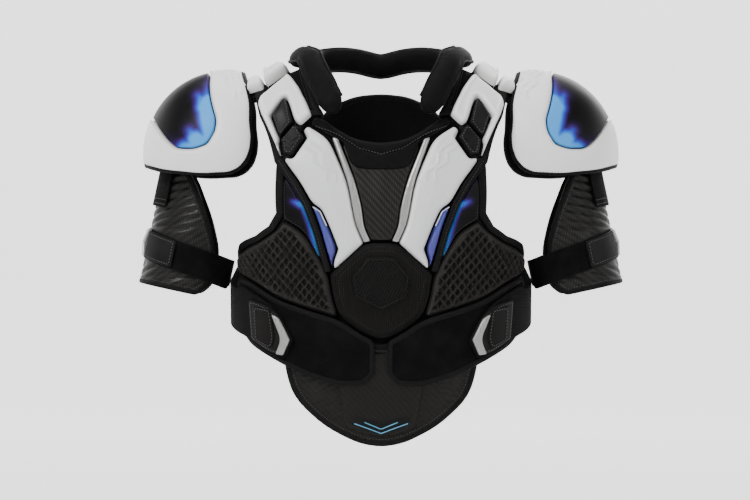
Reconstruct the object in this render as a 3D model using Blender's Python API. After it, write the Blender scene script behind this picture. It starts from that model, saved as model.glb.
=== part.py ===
"""Ice hockey shoulder pads: a vest of padded panels over the wearer's trunk, two shoulder caps, two bicep
guards, side belts and a removable belly pad. Metres, +Z up, the wearer faces -Y and "left" is +X.

Every panel is a flat pattern laid on one of four guide surfaces (trunk, yoke, cap, arm) and raised from it,
so the layers stack with known gaps and the whole set is graded by changing the body sizes below."""

import math

import bmesh
import bpy
import numpy as np
from mathutils import Vector
from mathutils.geometry import delaunay_2d_cdt

MM = 0.001

# Body sizes
WAIST_WIDTH = 0.292
CHEST_DEPTH = 0.230
TORSO_LENGTH = 0.360
ARM_RADIUS = 0.047
CAP_LENGTH = 0.085
CAP_DEPTH = 0.080
CAP_HEIGHT = 0.088

# Layers, as heights above the guide surface
LINER = (0.001, 0.0065)
YOKE_LINER = (0.001, 0.009)
TILE_BASE = 0.008
YOKE_TILE_BASE = 0.0105
ARCH_TOP = 0.0175
PLATE_TOP = 0.0135
TRIM_TOP = 0.0148
PANEL_TOP = 0.0125
MESH_TOP = 0.0155
SHIELD_TOP = 0.0162
BADGE = (0.0174, 0.0192)
CLAVICLE_TOP = 0.0195
SHOULDER_ARCH_TOP = 0.0260
LINK_TOP = 0.0240
LINK_PIECE_TOP = 0.0165
BELLY_PAD = (0.0080, 0.0118)
BELLY_PANEL = (0.0126, 0.0140)
LANDING = (0.0152, 0.0180)
BELT = (0.0204, 0.0224)
BELT_AT_BACK = 0.0100
TAB = (0.0239, 0.0256)
CAP_WALL = 0.0055
CAP_FOAM = 0.0080
GUARD_WALL = 0.0050
STRAP_WALL = 0.0020
LAYER_GAP = 0.0014
FOAM_GAP = 0.0020
TAG_GAP = 0.0023
SEAM_GAP = 0.0010

# Straps and motion
BELT_WIDTH = 0.048
STRAP_WIDTH = 0.033
ELASTIC_WIDTH = 0.030
HANGER_WIDTH = 0.046
ARM_LEAN = math.radians(12)
COLLAR_HALF_WIDTH = 0.0150
COLLAR_HALF_THICKNESS = 0.0095
COARSE = 0.024
MEDIUM = 0.017
FINE = 0.0105
FLAT_TRIANGLE = 0.00002

# The patterns below are drawn in millimetres for the medium size, and graded to the body.
GRADE_X = WAIST_WIDTH / 0.292
GRADE_Y = CHEST_DEPTH / 0.230
GRADE_Z = TORSO_LENGTH / 0.360
HALF_WAIST = WAIST_WIDTH / 2 / MM
HALF_DEPTH = CHEST_DEPTH / 2 / MM

# Trunk sections: height, half width, half depth in front, half depth behind, for the medium size
SECTIONS = (
    (-400, 146, 114, 108),
    (-180, 146, 114, 108),
    (-130, 152, 116, 111),
    (-100, 160, 115, 112),
    (-60, 178, 108, 109),
    (-30, 188, 98, 102),
    (0, 180, 87, 91),
    (20, 152, 77, 80),
    (30, 131, 72, 75),
    (45, 100, 66, 70),
    (54, 80, 63, 67),
    (64, 70, 61, 65),
    (82, 65, 59, 63),
    (120, 63, 58, 62),
)
ROUNDNESS = 2.4
FRONT_CENTRE = -8.0
BACK_CENTRE = 8.0
BELLY_SLOPE = 0.10
BELLY_TOP = -160.0
BELLY_BLEND = 40.0


def smooth_through(heights, values, at):
    """A curve through the values that never overshoots them, read at the given heights."""
    rise = np.diff(values) / np.diff(heights)
    flat = rise[:-1] * rise[1:] <= 0
    mean = 2 * rise[:-1] * rise[1:] / np.where(flat, 1, rise[:-1] + rise[1:])
    slope = np.concatenate([rise[:1], np.where(flat, 0, mean), rise[-1:]])
    i = np.clip(np.searchsorted(heights, at) - 1, 0, len(heights) - 2)
    step = heights[i + 1] - heights[i]
    t = np.clip((at - heights[i]) / step, 0, 1)
    return (
        values[i] * (1 + 2 * t) * (1 - t) ** 2
        + values[i + 1] * t * t * (3 - 2 * t)
        + step * (slope[i] * t * (1 - t) ** 2 - slope[i + 1] * t * t * (1 - t))
    )


TABLE = np.array(SECTIONS, float)


def trunk_section(z):
    """Half width, front and back half depths, and front and back centres at height z, all in metres."""
    level = z / MM / GRADE_Z
    width, front, back = (smooth_through(TABLE[:, 0], TABLE[:, k], level) * MM for k in (1, 2, 3))
    fall = np.clip(BELLY_TOP - level, 0, None)
    shift = np.where(fall < 2 * BELLY_BLEND / 2, fall**2 / (2 * BELLY_BLEND), fall - BELLY_BLEND / 2)
    front_centre = (FRONT_CENTRE + BELLY_SLOPE * shift) * MM * GRADE_Y
    back_centre = np.full_like(front_centre, BACK_CENTRE * MM * GRADE_Y)
    return width * GRADE_X, front * GRADE_Y, back * GRADE_Y, front_centre, back_centre


def trunk_field(points):
    """Below zero inside the trunk and above it outside."""
    x, y, z = points[..., 0], points[..., 1], points[..., 2]
    width, front, back, front_centre, back_centre = trunk_section(z)
    ahead = np.clip(front_centre - y, 0, None) / front
    behind = np.clip(y - back_centre, 0, None) / back
    return np.abs(x / width) ** ROUNDNESS + ahead**ROUNDNESS + behind**ROUNDNESS - 1


def cast(origin, direction, reach=0.45):
    """Where rays from inside the trunk come out of it."""
    near, far = np.zeros(len(origin)), np.full(len(origin), reach)
    for _ in range(44):
        middle = (near + far) / 2
        outside = trunk_field(origin + direction * middle[:, None]) > 0
        far = np.where(outside, middle, far)
        near = np.where(outside, near, middle)
    return origin + direction * near[:, None]


def trunk_normal(points):
    step = 0.4 * MM
    slope = [trunk_field(points + d) - trunk_field(points - d) for d in np.eye(3) * step]
    normal = np.stack(slope, axis=-1)
    return normal / np.linalg.norm(normal, axis=-1, keepdims=True)


GIRTH_RADIUS = 0.130
YOKE_RADIUS = 0.110
YOKE_AXIS_Z = -0.050 * GRADE_Z


def trunk_sheet(sheet, facing=-1):
    """Sheet of the trunk: u runs round it from the middle of the front (or back), v is the height."""
    angle, z = sheet[:, 0] / GIRTH_RADIUS, sheet[:, 1]
    origin = np.stack([0 * z, 0 * z, z], axis=1)
    points = cast(origin, np.stack([np.sin(angle), facing * np.cos(angle), 0 * z], axis=1))
    return points, trunk_normal(points)


def back_sheet(sheet):
    return trunk_sheet(sheet, facing=1)


def yoke_sheet(sheet):
    """Sheet over the shoulder: u is x, v runs from the front (0) over the top (90 degrees) to the back."""
    x, angle = sheet[:, 0], sheet[:, 1] / YOKE_RADIUS
    origin = np.stack([x, 0 * x, np.full_like(x, YOKE_AXIS_Z)], axis=1)
    points = cast(origin, np.stack([0 * x, -np.cos(angle), np.sin(angle)], axis=1))
    return points, trunk_normal(points)


def seen(outline, lift, facing=-1):
    """Points of the trunk under an outline drawn in millimetres as seen from the front (or the back), for a
    face that stands lift above the trunk."""
    target = np.array(outline, float) * MM * (GRADE_X, GRADE_Z)
    x, z = target[:, 0].copy(), target[:, 1].copy()
    for _ in range(60):
        width, front, back, front_centre, back_centre = trunk_section(z)
        x = np.clip(x, -0.992 * width, 0.992 * width)
        depth = (1 - np.abs(x / width) ** ROUNDNESS) ** (1 / ROUNDNESS)
        y = front_centre - front * depth if facing < 0 else back_centre + back * depth
        normal = trunk_normal(np.stack([x, y, z], axis=1))
        x = 0.6 * x + 0.4 * (target[:, 0] - lift * normal[:, 0])
        z = 0.6 * z + 0.4 * (target[:, 1] - lift * normal[:, 2])
    return np.stack([x, y, z], axis=1)


def on_trunk(outline, lift):
    p = seen(outline, lift)
    return np.stack([np.arctan2(p[:, 0], -p[:, 1]) * GIRTH_RADIUS, p[:, 2]], axis=1)


def on_back(outline, lift):
    p = seen(outline, lift, facing=1)
    return np.stack([np.arctan2(p[:, 0], p[:, 1]) * GIRTH_RADIUS, p[:, 2]], axis=1)


def on_yoke(outline, lift, facing=-1):
    p = seen(outline, lift, facing)
    angle = np.arctan2(p[:, 2] - YOKE_AXIS_Z, -p[:, 1])
    return np.stack([p[:, 0], angle * YOKE_RADIUS], axis=1)


def yoke_degrees(outline):
    """Outline given as x in millimetres and the angle over the shoulder in degrees."""
    rows = np.array(outline, float)
    return np.stack([rows[:, 0] * MM * GRADE_X, np.radians(rows[:, 1]) * YOKE_RADIUS], axis=1)


# Shoulder cap: part of an ellipsoid. Its inner edge lies on the cap hinge's line.
CAP_HINGE = np.array([0.1500 * GRADE_X, 0.0, 0.0545 * GRADE_Z])
CAP_CENTRE = CAP_HINGE + np.array([0.0240, 0.0020, -0.0905])
CAP_AXES = np.array([CAP_LENGTH, CAP_DEPTH, CAP_HEIGHT])
CAP_AIM = math.radians(35)
CAP_RADIUS = 0.084
CAP_OUT = np.array([math.cos(CAP_AIM), 0, math.sin(CAP_AIM)])
CAP_UP = np.array([-math.sin(CAP_AIM), 0, math.cos(CAP_AIM)])
CAP_FRONT = np.array([0.0, -1.0, 0.0])


def cap_sheet(sheet):
    """Sheet of the cap: distances from its crown, u towards the neck and v towards the front."""
    turn = np.linalg.norm(sheet, axis=1) / CAP_RADIUS
    way = sheet / np.maximum(np.linalg.norm(sheet, axis=1), 1e-9)[:, None]
    side = way[:, :1] * CAP_UP + way[:, 1:] * CAP_FRONT
    ball = np.cos(turn)[:, None] * CAP_OUT + np.sin(turn)[:, None] * side
    normal = ball / CAP_AXES
    return CAP_CENTRE + ball * CAP_AXES, normal / np.linalg.norm(normal, axis=1, keepdims=True)


def on_cap(outline, lift):
    """Front half of a cap outline, drawn from the front in shares of the cap's length outboard of its hinge
    and of its height below the crown, closed by the same half behind."""
    rows = np.array(outline, float)
    axes = CAP_AXES + lift
    x = (CAP_HINGE[0] - CAP_CENTRE[0] + rows[:, 0] * CAP_LENGTH) / axes[0]
    z = 1 - rows[:, 1] * CAP_HEIGHT / axes[2]
    y = -np.sqrt(np.clip(1 - x * x - z * z, 0, 1))
    ball = np.stack([x, y, z], axis=1)
    ball /= np.linalg.norm(ball, axis=1, keepdims=True)
    turn = np.arccos(np.clip(ball @ CAP_OUT, -1, 1))
    way = np.stack([ball @ CAP_UP, ball @ CAP_FRONT], axis=1)
    way /= np.maximum(np.linalg.norm(way, axis=1), 1e-9)[:, None]
    half = way * (turn * CAP_RADIUS)[:, None]
    inner = [i for i in range(len(half)) if half[i, 1] > 1e-4]
    return np.concatenate([half, half[inner][::-1] * (1, -1)])


# Upper arm: a cylinder that leans outwards under the cap
ARM_TOP = CAP_CENTRE + np.array([0.0140, 0.0020, -0.0040])
ARM_AXIS = np.array([math.sin(ARM_LEAN), 0, -math.cos(ARM_LEAN)])
ARM_OUT = np.array([math.cos(ARM_LEAN), 0, math.sin(ARM_LEAN)])


def arm_sheet(sheet):
    """Sheet of the arm: u runs round it from the outside towards the front, v runs down it."""
    angle = (sheet[:, 0] / ARM_RADIUS)[:, None]
    normal = np.cos(angle) * ARM_OUT + np.sin(angle) * CAP_FRONT
    return ARM_TOP + normal * ARM_RADIUS + sheet[:, 1:] * ARM_AXIS, normal


def arm_degrees(outline):
    """Outline given as the angle round the arm in degrees and millimetres down it."""
    rows = np.array(outline, float)
    return np.stack([np.radians(rows[:, 0]) * ARM_RADIUS, rows[:, 1] * MM * GRADE_Z], axis=1)


def inside(points, loop):
    """Which points lie within a closed loop."""
    x, y = points[:, 0][:, None], points[:, 1][:, None]
    ax, ay = loop[:, 0], loop[:, 1]
    bx, by = np.roll(ax, -1), np.roll(ay, -1)
    crosses = (ay > y) != (by > y)
    with np.errstate(divide="ignore", invalid="ignore"):
        at = ax + (y - ay) * (bx - ax) / (by - ay)
    return (crosses & (x < at)).sum(axis=1) % 2 == 1


def distance_to(points, loop):
    """Distance from each point to the nearest edge of a closed loop."""
    a, b = loop, np.roll(loop, -1, axis=0)
    along = b - a
    length = np.maximum((along**2).sum(axis=1), 1e-18)
    t = np.clip(((points[:, None] - a) * along).sum(axis=2) / length, 0, 1)
    return np.linalg.norm(points[:, None] - a - t[..., None] * along, axis=2).min(axis=1)


def split_edges(loop, spacing):
    """The loop with its long edges divided evenly."""
    rows = []
    for a, b in zip(loop, np.roll(loop, -1, axis=0)):
        count = max(1, math.ceil(np.linalg.norm(b - a) / spacing - 0.2))
        rows += [a + (b - a) * k / count for k in range(count)]
    return np.array(rows)


def drawn_in(loop, gap):
    """The loop moved inwards by half a seam gap, corner by corner."""
    area = (loop[:, 0] * np.roll(loop[:, 1], -1) - np.roll(loop[:, 0], -1) * loop[:, 1]).sum()
    loop = loop if area > 0 else loop[::-1]
    before = loop - np.roll(loop, 1, axis=0)
    after = np.roll(loop, -1, axis=0) - loop
    before /= np.linalg.norm(before, axis=1, keepdims=True)
    after /= np.linalg.norm(after, axis=1, keepdims=True)
    inward = np.stack([-before[:, 1] - after[:, 1], before[:, 0] + after[:, 0]], axis=1)
    share = np.maximum((inward**2).sum(axis=1, keepdims=True), 0.8)
    return loop + inward * gap / share


def triangle_height(corners):
    """The smallest height of each triangle."""
    sides = np.roll(corners, -1, axis=1) - corners
    doubled = np.abs(sides[:, 0, 0] * sides[:, 1, 1] - sides[:, 0, 1] * sides[:, 1, 0])
    return doubled / np.linalg.norm(sides, axis=2).max(axis=1)


def pattern_mesh(loops, spacing):
    """Triangles that fill the first loop and leave the others open."""
    loops = [split_edges(loop, spacing) for loop in loops]
    low, high = loops[0].min(axis=0), loops[0].max(axis=0)
    rows = np.arange(low[1], high[1], spacing * math.sqrt(0.75))
    grid = [
        (x + (k % 2) * spacing / 2, y)
        for k, y in enumerate(rows)
        for x in np.arange(low[0], high[0], spacing)
    ]
    grid = np.array(grid)
    keep = inside(grid, loops[0])
    for loop in loops:
        keep &= distance_to(grid, loop) > 0.5 * spacing
    for loop in loops[1:]:
        keep &= ~inside(grid, loop)
    points = np.concatenate([*loops, grid[keep]])
    edges, start = [], 0
    for loop in loops:
        edges += [(start + k, start + (k + 1) % len(loop)) for k in range(len(loop))]
        start += len(loop)
    found = delaunay_2d_cdt([Vector(p) for p in points], edges, [], 0, 1e-7)
    points = np.array([tuple(p) for p in found[0]])
    faces = np.array(found[2])
    middle = points[faces].mean(axis=1)
    keep = inside(middle, loops[0])
    for loop in loops[1:]:
        keep &= ~inside(middle, loop)
    keep &= triangle_height(points[faces]) > FLAT_TRIANGLE
    used, faces = np.unique(faces[keep], return_inverse=True)
    return points[used], faces.reshape(-1, 3)


def material(name, colour, roughness, metallic=0.0):
    found = bpy.data.materials.get(name)
    if found is None:
        found = bpy.data.materials.new(name)
        found.use_nodes = True
        shader = found.node_tree.nodes["Principled BSDF"]
        shader.inputs["Base Color"].default_value = (*colour, 1)
        shader.inputs["Roughness"].default_value = roughness
        shader.inputs["Metallic"].default_value = metallic
    return found


def white_shell():
    return material("white_shell", (0.80, 0.80, 0.79), 0.45)


def black_foam():
    return material("black_foam", (0.020, 0.020, 0.022), 0.85)


def black_mesh():
    return material("black_mesh", (0.030, 0.029, 0.028), 0.75)


def carbon():
    return material("carbon", (0.050, 0.047, 0.044), 0.35)


def graphic():
    return material("graphic", (0.09, 0.20, 0.60), 0.40)


def accent():
    return material("accent", (0.16, 0.17, 0.60), 0.45)


def silver():
    return material("silver", (0.62, 0.60, 0.58), 0.28, 0.9)


def velour():
    return material("velour", (0.008, 0.008, 0.009), 0.95)


def elastic():
    return material("elastic", (0.016, 0.016, 0.018), 0.80)


def rubber():
    return material("rubber", (0.030, 0.030, 0.033), 0.55)


def finish_object(name, bm, finish, parent, smooth=35):
    bmesh.ops.recalc_face_normals(bm, faces=bm.faces)
    mesh = bpy.data.meshes.new(name)
    bm.to_mesh(mesh)
    bm.free()
    mesh.shade_smooth()
    mesh.set_sharp_from_angle(angle=math.radians(smooth))
    mesh.materials.append(finish)
    obj = bpy.data.objects.new(name, mesh)
    bpy.context.scene.collection.objects.link(obj)
    if parent is not None:
        obj.parent = parent
        obj.matrix_parent_inverse = parent.matrix_world.inverted()
    return obj


def pad(name, loops, sheet, low, high, finish, parent=None, side=1, spacing=COARSE, flat_top=None):
    """One panel: its pattern laid on a sheet at height low and extruded to height high. Heights may be
    functions of the pattern's points. flat_top gives the plane y = flat_top to the outer face."""
    pattern, faces = pattern_mesh([drawn_in(loops[0], SEAM_GAP / 2)] + list(loops[1:]), spacing)
    points, normals = sheet(pattern)
    lower, upper = (h(pattern) if callable(h) else np.full(len(pattern), h) for h in (low, high))
    inner = points + normals * lower[:, None]
    outer = points + normals * upper[:, None]
    if flat_top is not None:
        outer[:, 0] = inner[:, 0]
        outer[:, 1] = flat_top
        outer[:, 2] = inner[:, 2]
    inner[:, 0] *= side
    outer[:, 0] *= side
    bm = bmesh.new()
    number = bm.verts.layers.int.new("pattern_point")
    verts = [bm.verts.new(p) for p in inner]
    for k, vert in enumerate(verts):
        vert[number] = k
    for face in faces:
        bm.faces.new([verts[k] for k in face])
    raised = bmesh.ops.extrude_face_region(bm, geom=list(bm.faces))
    for item in raised["geom"]:
        if isinstance(item, bmesh.types.BMVert):
            item.co = outer[item[number]]
    return finish_object(name, bm, finish, parent)


def tube(name, path, sections, finish, parent=None, smooth=60):
    """A closed bar through rings of points, one ring for each point of the path."""
    bm = bmesh.new()
    rings = [[bm.verts.new(p) for p in ring] for ring in sections]
    for a, b in zip(rings, rings[1:]):
        for k in range(len(a)):
            following = (k + 1) % len(a)
            bm.faces.new((a[k], a[following], b[following], b[k]))
    bm.faces.new(rings[0][::-1])
    bm.faces.new(rings[-1])
    return finish_object(name, bm, finish, parent, smooth)


def joint_empty(name, place):
    empty = bpy.data.objects.new(name, None)
    empty.location = place
    empty.empty_display_size = 0.03
    bpy.context.scene.collection.objects.link(empty)
    bpy.context.view_layer.update()
    return empty


def mirrored(half):
    """A symmetric outline from its half at x >= 0, listed from top to bottom."""
    return list(half) + [(-x, z) for x, z in reversed(half) if x > 1e-6]


# Patterns of the front, in millimetres: x from the middle, z from the shoulder line
NECK_TRIM = [(0, -27), (26, -23), (44, -14), (62, -1), (72, 2), (77, -5), (56, -18), (47, -22), (25, -37), (0, -44)]
STERNUM_PLATE = [(0, -45.5), (24, -38.5), (44, -24.5), (29, -64), (20.5, -98), (18.5, -118), (11.5, -133), (0, -133.5)]
STERNUM_TRIM = [(47, -23), (53.5, -20), (35, -66), (26.4, -116), (18, -134), (12.5, -133), (19.5, -118), (21.5, -98), (30, -64)]
CHEST_ARCH = [
    (80, -6), (57, -20), (36, -66), (27.4, -116), (18.6, -135.6), (52, -165), (52.5, -156), (47.5, -142),
    (57, -118), (66, -99), (76.5, -92), (90, -68), (106.5, -46), (105.5, -41), (97, -42.5), (81.5, -20), (86, -11),
]
ARCH_ACCENT = [(53.2, -163), (53.5, -156), (48.8, -142), (58, -118.6), (67, -99.8), (76, -93.5), (66, -122), (59, -147)]
GRAPHIC_PANEL = [(105, -62), (107, -110), (84, -124), (64.5, -156), (71, -130), (83, -98), (93, -78)]
MESH_PAD = [
    (106.5, -112), (84.5, -125.5), (65.5, -156), (58, -172), (53.5, -196), (47, -217), (80, -207), (112, -196),
    (140, -178), (160, -166), (161, -152), (151, -142.5), (132, -134), (115, -122),
]
SHIELD = [(0, -136), (18.5, -137.2), (55, -170), (52.5, -190), (45.5, -214), (22, -232), (0, -240)]
BADGE_OUTLINE = [(0, -150.5), (15, -151.5), (32, -172), (28, -195), (0, -209)]
BELT_LANDING = [
    (158, -170), (140, -180), (112, -198), (80, -209), (46.5, -218.5), (23, -234), (7.5, -242), (7.5, -277),
    (18, -289), (44, -290.5), (80, -280), (112, -264), (146, -243), (157, -215),
]
CHEST_LINER = [
    (0, -28), (26, -24), (44, -15), (62, -2), (72, 1), (78, -8), (98, -41), (104, -47), (105, -62), (105, -104),
    (115, -121), (132, -133), (151, -142), (160, -152), (160, -200), (148, -236), (100, -250), (50, -257), (0, -258),
]
CLAVICLE_PLATE = [
    (103, 55), (76, 6.5), (89, -6), (95.5, -0.5), (106, 29), (122.5, 5), (112, -20), (113.5, -27),
    (110.5, -43), (124, -12), (137.5, 19), (135.5, 27),
]
CLAVICLE_HINGE = [(106, 27), (96.5, -3), (111, -19.5), (121, 5)]
HINGE_LINK = [(95.5, -4.5), (90, -8), (84, -19.5), (97.5, -40), (107.5, -38.5), (110.5, -21.5)]
BELLY_OUTLINE = [
    (0, -247), (24, -239), (50, -223), (80, -214), (98, -232), (106, -262), (96, -302), (62, -334), (26, -352),
    (0, -356.5),
]
BELLY_CENTRE = [(0, -256), (24, -248), (46, -240), (47, -262), (46, -296), (38, -334), (20, -342), (0, -345)]
BELT_FRONT = [(152, -182), (124, -199), (108, -216), (95, -241), (105, -261), (124, -256), (148, -238)]
BELT_TAB = [(146, -196), (124, -203.5), (110, -216), (97.5, -240.5), (106, -258), (122, -254), (143, -240)]

# Patterns of the back, as seen from behind
BACK_LINER = [
    (0, 36), (30, 33), (56, 22), (74, 4), (96, -34), (104, -62), (104, -104), (114, -121), (132, -134),
    (150, -146), (154, -200), (146, -246), (92, -264), (0, -268),
]
SCAPULA_PLATE = [(21, 14), (50, 12), (71, -4), (93, -40), (99, -66), (92, -104), (62, -122), (32, -124), (22, -96), (19, -40)]
LUMBAR_PAD = [(25, -128), (62, -128), (98, -114), (116, -130), (138, -148), (147, -196), (138, -238), (88, -256), (20, -258), (20, -180)]
SPINE_GUARD = [(0, 20), (12, 12), (15, -60), (19, -100), (16, -180), (15, -232), (0, -244)]

# Patterns over the shoulder: x in millimetres, angle from the front in degrees
YOKE_BACK = [(80, 122), (90, 146), (100, 164), (107, 172), (116, 166), (127, 148), (135, 124), (136, 90), (135, 62)]
YOKE_FRONT = [(135, 10), (124, -14), (112, -40), (103, -38), (97, -33), (84, -6), (73, 4), (62, 3)]
YOKE_INNER = [(69, 36), (77, 58), (79, 90)]
SHOULDER_ARCH = [(98, 68), (122, 56), (123.5, 90), (122, 124), (110, 138), (98, 124), (97, 90)]
ARCH_LINK = [(124.5, 54), (133.5, 54), (135, 90), (133, 126), (124, 127), (125, 90)]

# Cap outlines: shares of the cap's length outboard of the hinge, and of its height below the crown
CAP_RIM = [(0.00, 0.02), (-0.035, 0.20), (-0.115, 0.48), (-0.125, 0.90), (-0.08, 1.16), (0.08, 1.33), (0.52, 1.37), (0.98, 1.33), (1.26, 1.26)]
CAP_GRAPHIC = [(0.45, 0.07), (0.44, 0.38), (0.36, 0.64), (0.38, 0.80), (0.48, 0.96), (0.66, 1.02), (0.88, 1.01), (1.00, 0.92), (1.20, 0.64)]
CAP_FOAM_RIM = [(0.06, 0.03), (0.02, 0.22), (-0.04, 0.50), (-0.05, 0.86), (0.00, 1.04), (0.16, 1.14), (0.52, 1.17), (0.98, 1.13), (1.20, 1.06)]

# Bicep guard: degrees round the arm from its outside, millimetres down it
GUARD_FRONT = [(58, 14), (76, 30), (100, 62), (120, 98), (124, 118), (122, 140), (108, 153)]
GUARD = GUARD_FRONT + [(-a, h) for a, h in reversed(GUARD_FRONT)]
ELASTIC_MIDDLE = 122.0
STRAP_ENDS = ((14, 107.0), (150, 124.0))
TAG_SPAN = (24, 73)
HANGER_SPAN = (-8, 46)
HANGER_DROP = (20, 66)


def chest():
    top = ARCH_TOP
    trim = [on_trunk(mirrored(NECK_TRIM), PANEL_TOP)]
    pad("neck_trim", trim, trunk_sheet, TILE_BASE, PANEL_TOP, black_foam(), spacing=MEDIUM)
    pad("sternum_plate", [on_trunk(mirrored(STERNUM_PLATE), PLATE_TOP)], trunk_sheet, TILE_BASE, PLATE_TOP, carbon(), spacing=MEDIUM)
    pad("chest_liner", [on_trunk(mirrored(CHEST_LINER), LINER[1])], trunk_sheet, *LINER, black_foam())
    shield = on_trunk(mirrored(SHIELD), SHIELD_TOP)
    pad("sternum_shield", [shield], trunk_sheet, TILE_BASE, SHIELD_TOP, rubber(), spacing=MEDIUM)
    pad("shield_badge", [on_trunk(mirrored(BADGE_OUTLINE), BADGE[1])], trunk_sheet, *BADGE, carbon(), spacing=MEDIUM)
    for name, side in (("left", 1), ("right", -1)):
        rows = (
            ("chest_arch", CHEST_ARCH, top, white_shell(), MEDIUM),
            ("arch_accent", ARCH_ACCENT, top - 0.001, accent(), MEDIUM),
            ("graphic_panel", GRAPHIC_PANEL, PANEL_TOP, graphic(), MEDIUM),
            ("mesh_pad", MESH_PAD, MESH_TOP, black_mesh(), COARSE),
            ("sternum_trim", STERNUM_TRIM, TRIM_TOP, silver(), MEDIUM),
        )
        for label, outline, height, finish, spacing in rows:
            pad(f"{label}_{name}", [on_trunk(outline, height)], trunk_sheet, TILE_BASE, height, finish, side=side, spacing=spacing)
        link = on_trunk(HINGE_LINK, LINK_PIECE_TOP)
        pad(f"hinge_link_{name}", [link], trunk_sheet, YOKE_TILE_BASE, LINK_PIECE_TOP, rubber(), side=side, spacing=MEDIUM)
        landing = on_trunk(BELT_LANDING, LANDING[1])
        pad(f"belt_landing_{name}", [landing], trunk_sheet, *LANDING, velour(), side=side, spacing=MEDIUM)


def back():
    pad("back_liner", [on_back(mirrored(BACK_LINER), LINER[1])], back_sheet, *LINER, black_foam())
    spine = on_back(mirrored(SPINE_GUARD), PLATE_TOP)
    behind = (BACK_CENTRE + TABLE[:, 3].max() + 18) * MM * GRADE_Y
    pad("spine_guard", [spine], back_sheet, TILE_BASE, PLATE_TOP, carbon(), spacing=MEDIUM, flat_top=behind)
    for name, side in (("left", 1), ("right", -1)):
        pad(f"scapula_plate_{name}", [on_back(SCAPULA_PLATE, ARCH_TOP)], back_sheet, TILE_BASE, ARCH_TOP, white_shell(), side=side)
        pad(f"lumbar_pad_{name}", [on_back(LUMBAR_PAD, MESH_TOP)], back_sheet, TILE_BASE, MESH_TOP, black_mesh(), side=side)


def yoke():
    for name, side in (("left", 1), ("right", -1)):
        front = on_yoke(YOKE_FRONT, YOKE_LINER[1])
        outline = np.concatenate([front, yoke_degrees(YOKE_INNER), yoke_degrees(YOKE_BACK)])
        pad(f"yoke_liner_{name}", [outline], yoke_sheet, *YOKE_LINER, black_foam(), side=side)
        arch = yoke_degrees(SHOULDER_ARCH)
        pad(f"shoulder_arch_{name}", [arch], yoke_sheet, YOKE_TILE_BASE, SHOULDER_ARCH_TOP, white_shell(), side=side, spacing=MEDIUM)
        link = yoke_degrees(ARCH_LINK)
        pad(f"arch_link_{name}", [link], yoke_sheet, YOKE_TILE_BASE, LINK_TOP, white_shell(), side=side, spacing=MEDIUM)


def clavicle_edge():
    """Two points of the sewn upper edge on which the clavicle plate lifts."""
    points, normals = yoke_sheet(on_yoke([CLAVICLE_PLATE[0], CLAVICLE_PLATE[-1]], CLAVICLE_TOP))
    return points + normals * CLAVICLE_TOP


def clavicles():
    for name, side in (("left", 1), ("right", -1)):
        place = clavicle_edge().mean(axis=0) * (side, 1, 1)
        lift = joint_empty(f"clavicle_{name}_lift", place)
        for label, outline, height, finish, spacing in (
            ("clavicle_plate", CLAVICLE_PLATE, CLAVICLE_TOP, white_shell(), MEDIUM),
            ("clavicle_hinge", CLAVICLE_HINGE, CLAVICLE_TOP - 0.001, rubber(), MEDIUM),
        ):
            loop = on_yoke(outline, height)
            pad(f"{label}_{name}", [loop], yoke_sheet, YOKE_TILE_BASE, height, finish, lift, side, spacing)


COLLAR_PLAN = [(47, -95), (56, -85), (66, -66), (73, -42), (77, -12), (74, 22), (59, 50), (33, 67), (0, 73)]
COLLAR_LIFT = LINER[1] + COLLAR_HALF_THICKNESS + 0.0055


def through(points, count):
    """Evenly spaced points on a smooth curve through the given ones."""
    points = np.array(points, float)
    padded = np.concatenate([[2 * points[0] - points[1]], points, [2 * points[-1] - points[-2]]])
    rows = []
    for k in np.linspace(0, len(points) - 1 - 1e-9, count):
        i, t = int(k), k - int(k)
        a, b, c, d = padded[i : i + 4]
        rows.append(0.5 * (2 * b + (c - a) * t + (2 * a - 5 * b + 4 * c - d) * t**2 + (3 * b - a - 3 * c + d) * t**3))
    return np.array(rows)


def collar():
    """A padded roll that lies on the body round the neck, open at the front."""
    half = np.array(COLLAR_PLAN, float)
    whole = np.concatenate([half, (half * (-1, 1))[::-1][1:]])
    plan = through(whole, 33) * MM * (GRADE_X, GRADE_Y)
    low = np.stack([plan[:, 0], plan[:, 1], np.full(len(plan), -0.05 * GRADE_Z)], axis=1)
    seat = cast(low, np.tile([0.0, 0.0, 1.0], (len(plan), 1)), reach=0.16)
    normal = trunk_normal(seat)
    path = seat + normal * COLLAR_LIFT
    sections = []
    turns = np.linspace(0, 2 * math.pi, 10, endpoint=False)
    for k, point in enumerate(path):
        along = path[min(k + 1, len(path) - 1)] - path[max(k - 1, 0)]
        along /= np.linalg.norm(along)
        across = np.cross(along, normal[k])
        across /= np.linalg.norm(across)
        up = np.cross(across, along)
        share = 0.72 if k in (0, len(path) - 1) else 1.0
        wide, thick = COLLAR_HALF_WIDTH * share, COLLAR_HALF_THICKNESS * share
        sections.append([point + across * wide * math.cos(a) + up * thick * math.sin(a) for a in turns])
    tube("neck_collar", path, sections, black_foam())
    return path


def caps():
    for name, side in (("left", 1), ("right", -1)):
        hinge = joint_empty(f"cap_{name}_hinge", CAP_HINGE * (side, 1, 1))
        rim = on_cap(CAP_RIM, CAP_WALL)
        window = split_edges(on_cap(CAP_GRAPHIC, CAP_WALL), FINE)
        pad(f"cap_shell_{name}", [rim, window], cap_sheet, 0.0, CAP_WALL, white_shell(), hinge, side, MEDIUM)
        badge = drawn_in(window, SEAM_GAP / 2)
        pad(f"cap_graphic_{name}", [badge], cap_sheet, 0.0, CAP_WALL, graphic(), hinge, side, MEDIUM)
        foam = on_cap(CAP_FOAM_RIM, 0.0)
        pad(f"cap_foam_{name}", [foam], cap_sheet, -CAP_FOAM - FOAM_GAP, -FOAM_GAP, black_foam(), hinge, side, MEDIUM)


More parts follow.
